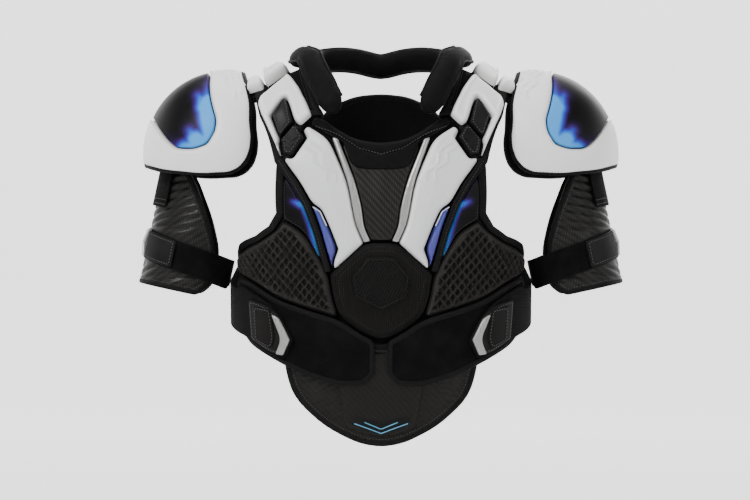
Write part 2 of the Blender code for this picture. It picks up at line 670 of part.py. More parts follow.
GUARD_HINGE = CAP_CENTRE + np.array([0.030, 0.0, -0.0160])
STRAP_LOW = GUARD_WALL + LAYER_GAP


def band(start, end, width, steps=3):
    """A strap pattern between two (angle, drop) ends, width millimetres wide."""
    rows = [(start[0] + (end[0] - start[0]) * k / steps, start[1] + (end[1] - start[1]) * k / steps) for k in range(steps + 1)]
    upper = [(a, h - width / 2) for a, h in rows]
    lower = [(a, h + width / 2) for a, h in rows]
    return upper + lower[::-1]


def arm_point(degrees, drop, lift):
    point, normal = arm_sheet(arm_degrees([(degrees, drop)]))
    return point[0] + normal[0] * lift


def biceps():
    for name, side in (("left", 1), ("right", -1)):
        hinge = joint_empty(f"bicep_{name}_hinge", GUARD_HINGE * (side, 1, 1))
        pad(f"bicep_guard_{name}", [arm_degrees(GUARD)], arm_sheet, 0.0, GUARD_WALL, carbon(), hinge, side, MEDIUM)
        loop = band((127, ELASTIC_MIDDLE), (233, ELASTIC_MIDDLE), ELASTIC_WIDTH / MM, 4)
        pad(f"bicep_elastic_{name}", [arm_degrees(loop)], arm_sheet, 0.0005, 0.0005 + STRAP_WALL, elastic(), hinge, side, MEDIUM)
        hanger = [(a, h) for h in HANGER_DROP for a in HANGER_SPAN]
        hanger = [hanger[0], hanger[1], hanger[3], hanger[2]]
        pad(f"hanger_strap_{name}", [arm_degrees(hanger)], arm_sheet, STRAP_LOW, STRAP_LOW + STRAP_WALL, elastic(), hinge, side, FINE)
        axis = joint_empty(f"bicep_strap_{name}_hinge", arm_point(STRAP_ENDS[1][0], STRAP_ENDS[1][1], STRAP_LOW) * (side, 1, 1))
        strap = band(*STRAP_ENDS, STRAP_WIDTH / MM, 6)
        pad(f"bicep_strap_{name}", [arm_degrees(strap)], arm_sheet, STRAP_LOW, STRAP_LOW + STRAP_WALL, velour(), axis, side, FINE)
        drop = [np.interp(a, [STRAP_ENDS[0][0], STRAP_ENDS[1][0]], [STRAP_ENDS[0][1], STRAP_ENDS[1][1]]) for a in TAG_SPAN]
        tag = band((TAG_SPAN[0], drop[0]), (TAG_SPAN[1], drop[1]), STRAP_WIDTH / MM - 2, 3)
        tag_low = STRAP_LOW + STRAP_WALL + TAG_GAP
        pad(f"bicep_tag_{name}", [arm_degrees(tag)], arm_sheet, tag_low, tag_low + 0.0015, rubber(), axis, side, FINE)


BELT_SEAM = 70.0
BELT_FALL = (math.radians(77), math.radians(108))
BELT_SIDE = [(69.5, -208.5), (70.5, -208), (84, -198), (98, -182), (112, -174)]


def belt_height(base):
    """The belt lies on the landing in front and comes down to the liner behind."""

    def height(pattern):
        share = np.clip((pattern[:, 0] / GIRTH_RADIUS - BELT_FALL[0]) / (BELT_FALL[1] - BELT_FALL[0]), 0, 1)
        ease = share * share * (3 - 2 * share)
        return base + (BELT_AT_BACK - BELT[0]) * ease

    return height


def belt_edges(rows):
    """Lower and upper edge of the belt along a few of its centre points."""
    centre = np.array([(math.radians(a) * GIRTH_RADIUS, z * MM * GRADE_Z) for a, z in rows])
    return centre - (0, BELT_WIDTH / 2), (centre + (0, BELT_WIDTH / 2))[::-1]


def belts():
    low, high = belt_height(BELT[0]), belt_height(BELT[1])
    seam = np.array([[math.radians(BELT_SEAM) * GIRTH_RADIUS, BELT_SIDE[0][1] * MM * GRADE_Z]])
    point, normal = trunk_sheet(seam)
    place = point[0] + normal[0] * high(seam)
    strap = np.concatenate([on_trunk(BELT_FRONT, BELT[1]), *belt_edges(BELT_SIDE[:1])])
    band = np.concatenate(belt_edges(BELT_SIDE[1:]))
    for name, side in (("left", 1), ("right", -1)):
        hinge = joint_empty(f"belt_{name}_hinge", place * (side, 1, 1))
        pad(f"belt_side_{name}", [band], trunk_sheet, low, high, elastic(), side=side, spacing=MEDIUM)
        pad(f"belt_strap_{name}", [strap], trunk_sheet, low, high, elastic(), hinge, side, MEDIUM)
        pad(f"belt_tab_{name}", [on_trunk(BELT_TAB, TAB[1])], trunk_sheet, *TAB, rubber(), hinge, side, MEDIUM)


def belly():
    slide = joint_empty("extension_pad_slide", (0, 0, -0.28 * GRADE_Z))
    pad("extension_pad", [on_trunk(mirrored(BELLY_OUTLINE), BELLY_PAD[1])], trunk_sheet, *BELLY_PAD, black_mesh(), slide)
    pad("extension_panel", [on_trunk(mirrored(BELLY_CENTRE), BELLY_PANEL[1])], trunk_sheet, *BELLY_PANEL, black_foam(), slide)


def main():
    for obj in list(bpy.data.objects):
        bpy.data.objects.remove(obj)
    chest()
    back()
    yoke()
    clavicles()
    collar()
    caps()
    biceps()
    belts()
    belly()


main()
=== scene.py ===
"""Ice hockey shoulder pads, finished: padded panels, bindings, stitching, collar, caps and straps.

Laid out as an add-on. Every panel is a flat pattern laid on one of the guide surfaces (trunk, back, yoke,
cap, arm), the same surfaces and patterns as the solids of the frame, with padding, edges and relief added."""

import math

import bmesh
import bpy
import numpy as np
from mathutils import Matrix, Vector
from mathutils.geometry import delaunay_2d_cdt


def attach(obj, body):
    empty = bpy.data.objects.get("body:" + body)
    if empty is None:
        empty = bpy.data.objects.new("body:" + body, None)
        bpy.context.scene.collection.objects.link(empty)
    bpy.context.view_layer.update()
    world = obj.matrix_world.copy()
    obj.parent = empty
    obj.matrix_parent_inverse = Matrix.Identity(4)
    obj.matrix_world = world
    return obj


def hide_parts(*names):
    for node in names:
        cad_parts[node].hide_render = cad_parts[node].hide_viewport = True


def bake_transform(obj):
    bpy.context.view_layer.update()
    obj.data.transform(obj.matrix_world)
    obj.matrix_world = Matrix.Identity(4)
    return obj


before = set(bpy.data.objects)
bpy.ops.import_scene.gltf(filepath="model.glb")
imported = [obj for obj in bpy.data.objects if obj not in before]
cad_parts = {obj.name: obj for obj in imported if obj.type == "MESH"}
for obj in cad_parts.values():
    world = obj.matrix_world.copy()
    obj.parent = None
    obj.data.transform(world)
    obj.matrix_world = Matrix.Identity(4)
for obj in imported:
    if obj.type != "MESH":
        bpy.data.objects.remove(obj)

bl_info = {
    "name": "Ice Hockey Shoulder Pads",
    "version": (1, 0, 0),
    "blender": (4, 5, 0),
    "location": "3D View > Sidebar > Shoulder Pads",
    "description": "Builds the padding, covers, bindings, stitching and straps of hockey shoulder pads",
    "category": "Object",
}

MM = 0.001

# Heights above the guide surface, as in the solids
LINER = (0.001, 0.0065)
YOKE_LINER = (0.001, 0.009)
TILE_BASE = 0.0066
YOKE_TILE_BASE = 0.0092
ARCH_TOP = 0.0175
PLATE_TOP = 0.0135
TRIM_TOP = 0.0148
PANEL_TOP = 0.0125
MESH_TOP = 0.0155
SHIELD_TOP = 0.0162
BADGE_TOP = 0.0192
LINK_PIECE_TOP = 0.0165
CLAVICLE_TOP = 0.0195
SHOULDER_ARCH_TOP = 0.0260
LINK_TOP = 0.0240
BELLY_PAD = (0.0080, 0.0118)
BELLY_PANEL = (0.0116, 0.0140)
LANDING = (0.0150, 0.0180)
BELT = (0.0204, 0.0224)
BELT_AT_BACK = 0.0100
TAB_TOP = 0.0256
CAP_WALL = 0.0055
CAP_FOAM = 0.0080
FOAM_GAP = 0.0020
GUARD_WALL = 0.0050
STRAP_WALL = 0.0020
STRAP_LOW = GUARD_WALL + 0.0012
SPINE_FACE = 0.138

BELT_WIDTH = 0.048
STRAP_WIDTH = 0.033
ELASTIC_WIDTH = 0.030

# Trunk sections: height, half width, half depth in front, half depth behind, in millimetres
SECTIONS = ((-400, 146, 114, 108), (-180, 146, 114, 108), (-130, 152, 116, 111), (-100, 160, 115, 112),
    (-60, 178, 108, 109), (-30, 188, 98, 102), (0, 180, 87, 91), (20, 152, 77, 80), (30, 131, 72, 75),
    (45, 100, 66, 70), (54, 80, 63, 67), (64, 70, 61, 65), (82, 65, 59, 63), (120, 63, 58, 62))
TABLE = np.array(SECTIONS, float)
ROUNDNESS = 2.4
FRONT_CENTRE = -8.0
BACK_CENTRE = 8.0
BELLY_SLOPE = 0.10
BELLY_TOP = -160.0
BELLY_BLEND = 40.0
GIRTH_RADIUS = 0.130
YOKE_RADIUS = 0.110
YOKE_AXIS_Z = -0.050


def smooth_through(heights, values, at):
    """A curve through the values that never overshoots them, read at the given heights."""
    rise = np.diff(values) / np.diff(heights)
    flat = rise[:-1] * rise[1:] <= 0
    mean = 2 * rise[:-1] * rise[1:] / np.where(flat, 1, rise[:-1] + rise[1:])
    slope = np.concatenate([rise[:1], np.where(flat, 0, mean), rise[-1:]])
    i = np.clip(np.searchsorted(heights, at) - 1, 0, len(heights) - 2)
    step = heights[i + 1] - heights[i]
    t = np.clip((at - heights[i]) / step, 0, 1)
    return (
        values[i] * (1 + 2 * t) * (1 - t) ** 2
        + values[i + 1] * t * t * (3 - 2 * t)
        + step * (slope[i] * t * (1 - t) ** 2 - slope[i + 1] * t * t * (1 - t))
    )


def trunk_section(z):
    """Half width, front and back half depths, and front and back centres at height z, all in metres."""
    level = z / MM
    width, front, back = (smooth_through(TABLE[:, 0], TABLE[:, k], level) * MM for k in (1, 2, 3))
    fall = np.clip(BELLY_TOP - level, 0, None)
    shift = np.where(fall < BELLY_BLEND, fall**2 / (2 * BELLY_BLEND), fall - BELLY_BLEND / 2)
    front_centre = (FRONT_CENTRE + BELLY_SLOPE * shift) * MM
    return width, front, back, front_centre, np.full_like(front_centre, BACK_CENTRE * MM)


def trunk_field(points):
    """Below zero inside the trunk and above it outside."""
    x, y, z = points[..., 0], points[..., 1], points[..., 2]
    width, front, back, front_centre, back_centre = trunk_section(z)
    ahead = np.clip(front_centre - y, 0, None) / front
    behind = np.clip(y - back_centre, 0, None) / back
    return np.abs(x / width) ** ROUNDNESS + ahead**ROUNDNESS + behind**ROUNDNESS - 1


def cast(origin, direction, reach=0.45):
    """Where rays from inside the trunk come out of it."""
    near, far = np.zeros(len(origin)), np.full(len(origin), reach)
    for _ in range(30):
        middle = (near + far) / 2
        outside = trunk_field(origin + direction * middle[:, None]) > 0
        far = np.where(outside, middle, far)
        near = np.where(outside, near, middle)
    return origin + direction * near[:, None]


def trunk_normal(points):
    step = 0.4 * MM
    slope = [trunk_field(points + d) - trunk_field(points - d) for d in np.eye(3) * step]
    normal = np.stack(slope, axis=-1)
    return normal / np.linalg.norm(normal, axis=-1, keepdims=True)


def trunk_sheet(sheet, facing=-1):
    """Sheet of the trunk: u runs round it from the middle of the front (or back), v is the height."""
    angle, z = sheet[:, 0] / GIRTH_RADIUS, sheet[:, 1]
    origin = np.stack([0 * z, 0 * z, z], axis=1)
    points = cast(origin, np.stack([np.sin(angle), facing * np.cos(angle), 0 * z], axis=1))
    return points, trunk_normal(points)


def back_sheet(sheet):
    return trunk_sheet(sheet, facing=1)


def yoke_sheet(sheet):
    """Sheet over the shoulder: u is x, v runs from the front (0) over the top (90 degrees) to the back."""
    x, angle = sheet[:, 0], sheet[:, 1] / YOKE_RADIUS
    origin = np.stack([x, 0 * x, np.full_like(x, YOKE_AXIS_Z)], axis=1)
    points = cast(origin, np.stack([0 * x, -np.cos(angle), np.sin(angle)], axis=1))
    return points, trunk_normal(points)


def seen(outline, lift, facing=-1):
    """Points of the trunk under an outline drawn in millimetres as seen from the front (or the back), for a
    face that stands lift above the trunk."""
    target = np.array(outline, float) * MM
    x, z = target[:, 0].copy(), target[:, 1].copy()
    for _ in range(60):
        width, front, back, front_centre, back_centre = trunk_section(z)
        x = np.clip(x, -0.992 * width, 0.992 * width)
        depth = (1 - np.abs(x / width) ** ROUNDNESS) ** (1 / ROUNDNESS)
        y = front_centre - front * depth if facing < 0 else back_centre + back * depth
        normal = trunk_normal(np.stack([x, y, z], axis=1))
        x = 0.6 * x + 0.4 * (target[:, 0] - lift * normal[:, 0])
        z = 0.6 * z + 0.4 * (target[:, 1] - lift * normal[:, 2])
    return np.stack([x, y, z], axis=1)


def on_trunk(outline, lift):
    p = seen(outline, lift)
    return np.stack([np.arctan2(p[:, 0], -p[:, 1]) * GIRTH_RADIUS, p[:, 2]], axis=1)


def on_back(outline, lift):
    p = seen(outline, lift, facing=1)
    return np.stack([np.arctan2(p[:, 0], p[:, 1]) * GIRTH_RADIUS, p[:, 2]], axis=1)


def on_yoke(outline, lift):
    p = seen(outline, lift)
    angle = np.arctan2(p[:, 2] - YOKE_AXIS_Z, -p[:, 1])
    return np.stack([p[:, 0], angle * YOKE_RADIUS], axis=1)


def yoke_degrees(outline):
    """Outline given as x in millimetres and the angle over the shoulder in degrees."""
    rows = np.array(outline, float)
    return np.stack([rows[:, 0] * MM, np.radians(rows[:, 1]) * YOKE_RADIUS], axis=1)


CAP_AXES = np.array([0.085, 0.080, 0.088])
CAP_LENGTH = CAP_AXES[0]
CAP_HEIGHT = CAP_AXES[2]
CAP_HINGE = np.array([0.1500, 0.0, 0.0545])
CAP_CENTRE = CAP_HINGE + np.array([0.0240, 0.0020, -0.0905])
CAP_AIM = math.radians(35)
CAP_RADIUS = 0.084
CAP_OUT = np.array([math.cos(CAP_AIM), 0, math.sin(CAP_AIM)])
CAP_UP = np.array([-math.sin(CAP_AIM), 0, math.cos(CAP_AIM)])
FORWARD = np.array([0.0, -1.0, 0.0])


def cap_sheet(sheet):
    """Sheet of the cap: distances from its crown, u towards the neck and v towards the front."""
    turn = np.linalg.norm(sheet, axis=1) / CAP_RADIUS
    way = sheet / np.maximum(np.linalg.norm(sheet, axis=1), 1e-9)[:, None]
    side = way[:, :1] * CAP_UP + way[:, 1:] * FORWARD
    ball = np.cos(turn)[:, None] * CAP_OUT + np.sin(turn)[:, None] * side
    normal = ball / CAP_AXES
    return CAP_CENTRE + ball * CAP_AXES, normal / np.linalg.norm(normal, axis=1, keepdims=True)


def on_cap(outline, lift, closed=True):
    """Front half of a cap outline, drawn from the front in shares of the cap's length outboard of its hinge
    and of its height below the crown, closed by the same half behind."""
    rows = np.array(outline, float)
    axes = CAP_AXES + lift
    x = (CAP_HINGE[0] - CAP_CENTRE[0] + rows[:, 0] * CAP_LENGTH) / axes[0]
    z = 1 - rows[:, 1] * CAP_HEIGHT / axes[2]
    y = -np.sqrt(np.clip(1 - x * x - z * z, 0, 1))
    ball = np.stack([x, y, z], axis=1)
    ball /= np.linalg.norm(ball, axis=1, keepdims=True)
    turn = np.arccos(np.clip(ball @ CAP_OUT, -1, 1))
    way = np.stack([ball @ CAP_UP, ball @ FORWARD], axis=1)
    way /= np.maximum(np.linalg.norm(way, axis=1), 1e-9)[:, None]
    half = way * (turn * CAP_RADIUS)[:, None]
    if not closed:
        return half
    inner = [i for i in range(len(half)) if half[i, 1] > 1e-4]
    return np.concatenate([half, half[inner][::-1] * (1, -1)])


ARM_RADIUS = 0.047
ARM_LEAN = math.radians(12)
ARM_TOP = CAP_CENTRE + np.array([0.0140, 0.0020, -0.0040])
ARM_AXIS = np.array([math.sin(ARM_LEAN), 0, -math.cos(ARM_LEAN)])
ARM_OUT = np.array([math.cos(ARM_LEAN), 0, math.sin(ARM_LEAN)])


def arm_sheet(sheet):
    """Sheet of the arm: u runs round it from the outside towards the front, v runs down it."""
    angle = (sheet[:, 0] / ARM_RADIUS)[:, None]
    normal = np.cos(angle) * ARM_OUT + np.sin(angle) * FORWARD
    return ARM_TOP + normal * ARM_RADIUS + sheet[:, 1:] * ARM_AXIS, normal


def arm_degrees(outline):
    """Outline given as the angle round the arm in degrees and millimetres down it."""
    rows = np.array(outline, float)
    return np.stack([np.radians(rows[:, 0]) * ARM_RADIUS, rows[:, 1] * MM], axis=1)


# Outline tools


def inside(points, loop):
    """Which points lie within a closed loop."""
    x, y = points[:, 0][:, None], points[:, 1][:, None]
    ax, ay = loop[:, 0], loop[:, 1]
    bx, by = np.roll(ax, -1), np.roll(ay, -1)
    crosses = (ay > y) != (by > y)
    with np.errstate(divide="ignore", invalid="ignore"):
        at = ax + (y - ay) * (bx - ax) / (by - ay)
    return (crosses & (x < at)).sum(axis=1) % 2 == 1


def distance_to(points, line, closed=True):
    """Distance from each point to the nearest edge of a line."""
    a, b = (line, np.roll(line, -1, axis=0)) if closed else (line[:-1], line[1:])
    along = b - a
    length = np.maximum((along**2).sum(axis=1), 1e-18)
    best = np.full(len(points), np.inf)
    for k in range(len(a)):
        t = np.clip(((points - a[k]) @ along[k]) / length[k], 0, 1)
        off = points - a[k] - t[:, None] * along[k]
        best = np.minimum(best, (off**2).sum(axis=1))
    return np.sqrt(best)


def wound(loop):
    """The loop, counter-clockwise."""
    area = (loop[:, 0] * np.roll(loop[:, 1], -1) - np.roll(loop[:, 0], -1) * loop[:, 1]).sum()
    return loop if area > 0 else loop[::-1]


def inward(loop):
    """Unit inward directions at the corners of a counter-clockwise loop."""
    before = loop - np.roll(loop, 1, axis=0)
    after = np.roll(loop, -1, axis=0) - loop
    before /= np.maximum(np.linalg.norm(before, axis=1, keepdims=True), 1e-12)
    after /= np.maximum(np.linalg.norm(after, axis=1, keepdims=True), 1e-12)
    way = np.stack([-before[:, 1] - after[:, 1], before[:, 0] + after[:, 0]], axis=1)
    return way / np.maximum((way**2).sum(axis=1, keepdims=True) / 2, 0.8)


def drawn_in(loop, gap):
    """The loop moved inwards by a gap."""
    loop = wound(np.array(loop, float))
    return loop + inward(loop) * gap


def fillet(loop, radius, soft=40, steps=5):
    """The loop with rounded corners: sharp ones get the radius, gentle ones run into a curve."""
    loop = wound(np.array(loop, float))
    rows = []
    for a, b, c in zip(np.roll(loop, 1, axis=0), loop, np.roll(loop, -1, axis=0)):
        back, on = a - b, c - b
        reach, ahead = np.linalg.norm(back), np.linalg.norm(on)
        back, on = back / reach, on / ahead
        turn = math.pi - math.acos(float(np.clip(back @ on, -1, 1)))
        if turn < 0.03:
            rows.append(b)
            continue
        room = 0.44 * min(reach, ahead)
        cut = room if math.degrees(turn) < soft else min(radius * math.tan(turn / 2), room)
        for t in np.linspace(0, 1, steps):
            rows.append((b + back * cut) * (1 - t) ** 2 + 2 * b * t * (1 - t) + (b + on * cut) * t * t)
    return np.array(rows)


def resampled(line, step, closed=True):
    """Evenly spaced points along a line."""
    whole = np.concatenate([line, line[:1]]) if closed else np.asarray(line, float)
    length = np.concatenate([[0], np.cumsum(np.linalg.norm(np.diff(whole, axis=0), axis=1))])
    count = max(8 if closed else 2, round(length[-1] / step))
    at = np.linspace(0, length[-1], count + 1)
    if closed:
        at = at[:-1]
    return np.stack([np.interp(at, length, whole[:, k]) for k in range(whole.shape[1])], axis=1)


def mirrored(half):
    """A symmetric outline from its half at x >= 0, listed from top to bottom."""
    return list(half) + [(-x, z) for x, z in reversed(half) if x > 1e-6]


def eased(t):
    t = np.clip(t, 0, 1)
    return t * t * (3 - 2 * t)


# Mesh tools


def fill(loops, spacing, rings=()):
    """Triangles that fill the first loop and leave the others open: points, faces and the loops' points."""
    parts, first = [], 0
    edges = []
    for loop in loops:
        parts.append(loop)
        edges += [(first + k, first + (k + 1) % len(loop)) for k in range(len(loop))]
        first += len(loop)
    last = max(rings, default=0.0)
    for offset in rings:
        for k, loop in enumerate(loops):
            row = loop + inward(loop) * (offset if k == 0 else -offset)
            keep = distance_to(row, loops[0]) > 0.96 * offset
            keep &= inside(row, loops[0])
            for other in loops[1:]:
                keep &= (distance_to(row, other) > 0.96 * offset) & ~inside(row, other)
            parts.append(row[keep])
    low, high = loops[0].min(axis=0), loops[0].max(axis=0)
    rows = np.arange(low[1] + spacing / 3, high[1], spacing * math.sqrt(0.75))
    across = np.arange(low[0] - spacing, high[0] + spacing, spacing)
    grid = np.concatenate([np.stack([across + (k % 2) * spacing / 2, np.full(len(across), y)], axis=1)
        for k, y in enumerate(rows)] or [np.zeros((0, 2))] )
    if len(grid):
        keep = inside(grid, loops[0])
        for loop in loops:
            keep &= distance_to(grid, loop) > last + 0.55 * spacing
        for loop in loops[1:]:
            keep &= ~inside(grid, loop)
        parts.append(grid[keep])
    points = np.concatenate(parts)
    found = delaunay_2d_cdt([Vector(p) for p in points], edges, [], 0, 1e-8)
    out = np.array([tuple(p) for p in found[0]])
    faces = np.array(found[2])
    home = {source: k for k, sources in enumerate(found[3]) for source in sources}
    middle = out[faces].mean(axis=1)
    keep = inside(middle, loops[0])
    for loop in loops[1:]:
        keep &= ~inside(middle, loop)
    rims, start = [], 0
    for loop in loops:
        rims.append([home[start + k] for k in range(len(loop))])
        start += len(loop)
    return out, faces[keep], rims


def new_object(name, verts, faces, materials, pattern=None, edge=None, smooth=42, slots=None):
    """A mesh object with its pattern as a UV map and the distance to its edge as an attribute."""
    mesh = bpy.data.meshes.new(name)
    mesh.from_pydata([tuple(v) for v in verts], [], [tuple(f) for f in faces])
    bm = bmesh.new()
    bm.from_mesh(mesh)
    bmesh.ops.recalc_face_normals(bm, faces=bm.faces)
    bm.to_mesh(mesh)
    bm.free()
    mesh.shade_smooth()
    mesh.set_sharp_from_angle(angle=math.radians(smooth))
    if pattern is not None:
        layer = mesh.uv_layers.new(name="pattern")
        corner = np.zeros(len(mesh.loops), np.int32)
        mesh.loops.foreach_get("vertex_index", corner)
        layer.data.foreach_set("uv", (np.asarray(pattern)[corner] * 10).astype(np.float32).ravel())
    if edge is not None:
        attribute = mesh.attributes.new("edge", "FLOAT", "POINT")
        attribute.data.foreach_set("value", np.asarray(edge, np.float32))
    for item in materials if isinstance(materials, (list, tuple)) else [materials]:
        mesh.materials.append(finish(item))
    if slots is not None:
        mesh.polygons.foreach_set("material_index", np.asarray(slots, np.int32))
    obj = bpy.data.objects.new(name, mesh)
    bpy.context.scene.collection.objects.link(obj)
    return obj


def panel(name, loops, sheet, low, high, finish, side=1, step=0.0024, bevel=0.0025, crown=0.0, relief=None,
        corner=0.004, gap=0.0004, start=0.25, coarse=0.010, soft=40, inner_finish=None):
    """A padded panel: the pattern laid on a sheet, with a rounded edge, a crown and relief on its outer face.
    low and high are heights or functions of the pattern's points."""
    loops = [np.asarray(loop, float) for loop in loops]
    shaped = [resampled(fillet(drawn_in(loops[0], gap), corner, soft), step)]
    shaped += [resampled(fillet(drawn_in(loop, -gap), corner, soft), step) for loop in loops[1:]]
    shaped = [wound(loop) for loop in shaped]
    rings = (0.10 * bevel, 0.35 * bevel, 0.75 * bevel, 1.3 * bevel) if bevel > 0 else ()
    points, faces, rims = fill(shaped, step, rings)
    back_points, back_faces, back_rims = fill(shaped, coarse)
    edge = np.min([distance_to(points, loop) for loop in shaped], axis=0)
    bottom = low(points) if callable(low) else np.full(len(points), low)
    top = high(points) if callable(high) else np.full(len(points), high)
    t = np.clip(edge / max(bevel, 1e-6), 0, 1)
    profile = start + (1 - start) * np.sqrt(1 - (1 - t) ** 2)
    height = bottom + (top - bottom) * profile + crown * (1 - np.exp(-edge / 0.009))
    if relief is not None:
        height = height + relief(points, edge)
    place, normal = sheet(points)
    outer = place + normal * height[:, None]
    back_bottom = low(back_points) if callable(low) else np.full(len(back_points), low)
    back_place, back_normal = sheet(back_points)
    inner = back_place + back_normal * back_bottom[:, None]
    count = len(outer)
    walls = []
    for front, behind in zip(rims, back_rims):
        for k in range(len(front)):
            following = (k + 1) % len(front)
            walls.append((front[k], front[following], count + behind[following]))
            walls.append((front[k], count + behind[following], count + behind[k]))
    verts = np.concatenate([outer, inner])
    verts[:, 0] *= side
    triangles = np.concatenate([faces, back_faces[:, ::-1] + count, np.array(walls)])
    back_edge = np.min([distance_to(back_points, loop) for loop in shaped], axis=0)
    slots = None
    if inner_finish is not None:
        slots = np.concatenate([np.zeros(len(faces)), np.ones(len(back_faces)), np.zeros(len(walls))])
        finish = [finish, inner_finish]
    return new_object(name, verts, triangles, finish, np.concatenate([points, back_points]),
        np.concatenate([edge, back_edge]), slots=slots)


def swept(name, rings, finish, closed=True, pattern=None, smooth=60):
    """A closed bar through rings of points: rings[i][k] is point k of ring i."""
    rings = np.asarray(rings, float)
    count, size = rings.shape[:2]
    faces = []
    for i in range(count if closed else count - 1):
        following = (i + 1) % count
        for k in range(size):
            right = (k + 1) % size
            faces.append((i * size + k, i * size + right, following * size + right, following * size + k))
    verts = rings.reshape(-1, 3)
    if not closed:
        faces.append(tuple(range(size))[::-1])
        faces.append(tuple((count - 1) * size + k for k in range(size)))
    if pattern is None:
        along = np.linalg.norm(np.diff(rings.mean(axis=1), axis=0), axis=1)
        along = np.concatenate([[0], np.cumsum(along)])
        girth = np.linalg.norm(np.diff(rings[0], axis=0), axis=1).sum() * 1.2
        pattern = np.stack(np.broadcast_arrays(along[:, None], np.linspace(0, girth, size)[None]), axis=-1)
        pattern = pattern.reshape(-1, 2)
    return new_object(name, verts, faces, finish, pattern, smooth=smooth)


BINDING_SECTION = ((1.00, 0.00), (0.97, 0.55), (0.80, 0.85), (0.45, 1.00), (0.12, 0.90), (-0.08, 0.55),
    (-0.14, 0.0))


def binding(name, loop, sheet, low, high, width, finish, side=1, step=0.0030, proud=0.0009, corner=0.004,
        gap=0.0004, closed=True, soft=40):
    """A folded edge tape round a panel, width wide on both faces."""
    if closed:
        path = resampled(fillet(drawn_in(loop, gap), corner, soft), step)
        way = inward(path)
    else:
        path = resampled(np.asarray(loop, float), step, closed=False)
        ahead = np.gradient(path, axis=0)
        ahead /= np.linalg.norm(ahead, axis=1, keepdims=True)
        way = np.stack([-ahead[:, 1], ahead[:, 0]], axis=1)
    top = high(path) if callable(high) else np.full(len(path), high)
    base = low(path) if callable(low) else np.full(len(path), low)
    rows = []
    for inset, share in BINDING_SECTION:
        spot, normal = sheet(path + way * (inset * width))
        rows.append(spot + normal * (top + proud * share)[:, None])
    for inset, share in BINDING_SECTION[::-1]:
        spot, normal = sheet(path + way * (inset * width))
        rows.append(spot + normal * (base - 0.35 * proud * share)[:, None])
    rings = np.stack(rows, axis=1)
    rings[..., 0] *= side
    return swept(name, rings, finish, closed=closed)


# Patterns of the front, in millimetres: x from the middle, z from the shoulder line
NECK_TRIM = [(0, -27), (26, -23), (44, -14), (62, -1), (72, 2), (77, -5), (56, -18), (47, -22), (25, -37),
    (0, -44)]
STERNUM_PLATE = [(0, -45.5), (24, -38.5), (44, -24.5), (29, -64), (20.5, -98), (18.5, -118), (11.5, -133),
    (0, -133.5)]
STERNUM_TRIM = [(47, -23), (53.5, -20), (35, -66), (26.4, -116), (18, -134), (12.5, -133), (19.5, -118),
    (21.5, -98), (30, -64)]
PLATE_HOOD = [(0, -41), (25, -34), (43.5, -22), (40, -31), (33.5, -49), (26, -55), (0, -57.5)]
CHEST_ARCH = [(80, -6), (57, -20), (36, -66), (27.4, -116), (18.6, -135.6), (52, -165), (52.5, -156),
    (47.5, -142), (57, -118), (66, -99), (76.5, -92), (90, -68), (106.5, -46), (105.5, -41), (97, -42.5),
    (81.5, -20), (86, -11)]
ARCH_ACCENT = [(53.2, -163), (53.5, -156), (48.8, -142), (58, -118.6), (67, -99.8), (76, -93.5), (66, -122),
    (59, -147)]
ARCH_BORDER = [(107.5, -44), (107, -47.5), (91.5, -69.5), (78.2, -93), (67.5, -122), (60.5, -147),
    (55.5, -166)]
ARCH_CHEVRONS = ([(81, -31), (71.5, -37.5), (71, -47.5), (58, -57), (58.5, -68)], [(76, -26), (66, -33),
    (62, -39), (61.6, -50), (49, -59), (49, -68)])
CAP_CHEVRONS = ([(0.36, 0.05), (0.25, 0.12), (0.25, 0.21), (0.13, 0.30), (0.13, 0.39)], [(0.28, 0.03),
    (0.17, 0.10), (0.17, 0.18), (0.06, 0.26), (0.06, 0.34)], [(0.20, 0.02), (0.09, 0.08), (0.09, 0.15),
    (0.01, 0.21)])
# Flames of the printed films: x, z, level and half width along each, in millimetres
CAP_FLAMES = ([(187, 49.5, 0.30, 2), (189, 27.5, 0.55, 5), (184.8, 14.3, 1.0, 12), (181.5, 0, 1.0, 13),
    (180.4, -16.5, 1.0, 11), (184.8, -27.5, 1.0, 10), (199, -35.2, 1.0, 9), (213.4, -35.2, 0.85, 8),
    (224.4, -33, 0.38, 5), (237.6, -25.3, 0.15, 3)], [(186, 6, 1.0, 9), (193, 14, 1.0, 5),
    (201, 27, 0.55, 0.8)], [(196, -30, 1.0, 9), (203, -22, 1.0, 5), (210, -12, 0.55, 0.8)])
CHEST_FLAMES = ([(103.8, -53, 0.9, 1.4), (100.5, -60, 0.8, 1.2), (94, -70, 0.45, 0.8), (86, -85, 0.5, 1.0),
    (81, -95.7, 1.0, 2.4), (75.8, -112, 0.85, 1.5), (66, -148.5, 0.9, 1.4)], [(80, -96, 1.0, 2.2),
    (88, -93, 0.75, 1.2), (96, -90.5, 0.4, 0.6)])
GRAPHIC_PANEL = [(105, -62), (107, -110), (84, -124), (64.5, -156), (71, -130), (83, -98), (93, -78)]
MESH_PAD = [(106.5, -112), (84.5, -125.5), (65.5, -156), (58, -172), (53.5, -196), (47, -217), (80, -207),
    (112, -196), (140, -178), (160, -166), (161, -152), (151, -142.5), (132, -134), (115, -122)]
SHIELD = [(0, -136), (18.5, -137.2), (55, -170), (52.5, -190), (45.5, -214), (22, -232), (0, -240)]
BADGE_OUTLINE = [(0, -150.5), (15, -151.5), (32, -172), (28, -195), (0, -209)]
BELT_LANDING = [(158, -170), (140, -180), (112, -198), (80, -209), (46.5, -218.5), (23, -234), (7.5, -242),
    (7.5, -277), (18, -289), (44, -290.5), (80, -280), (112, -264), (146, -243), (157, -215)]
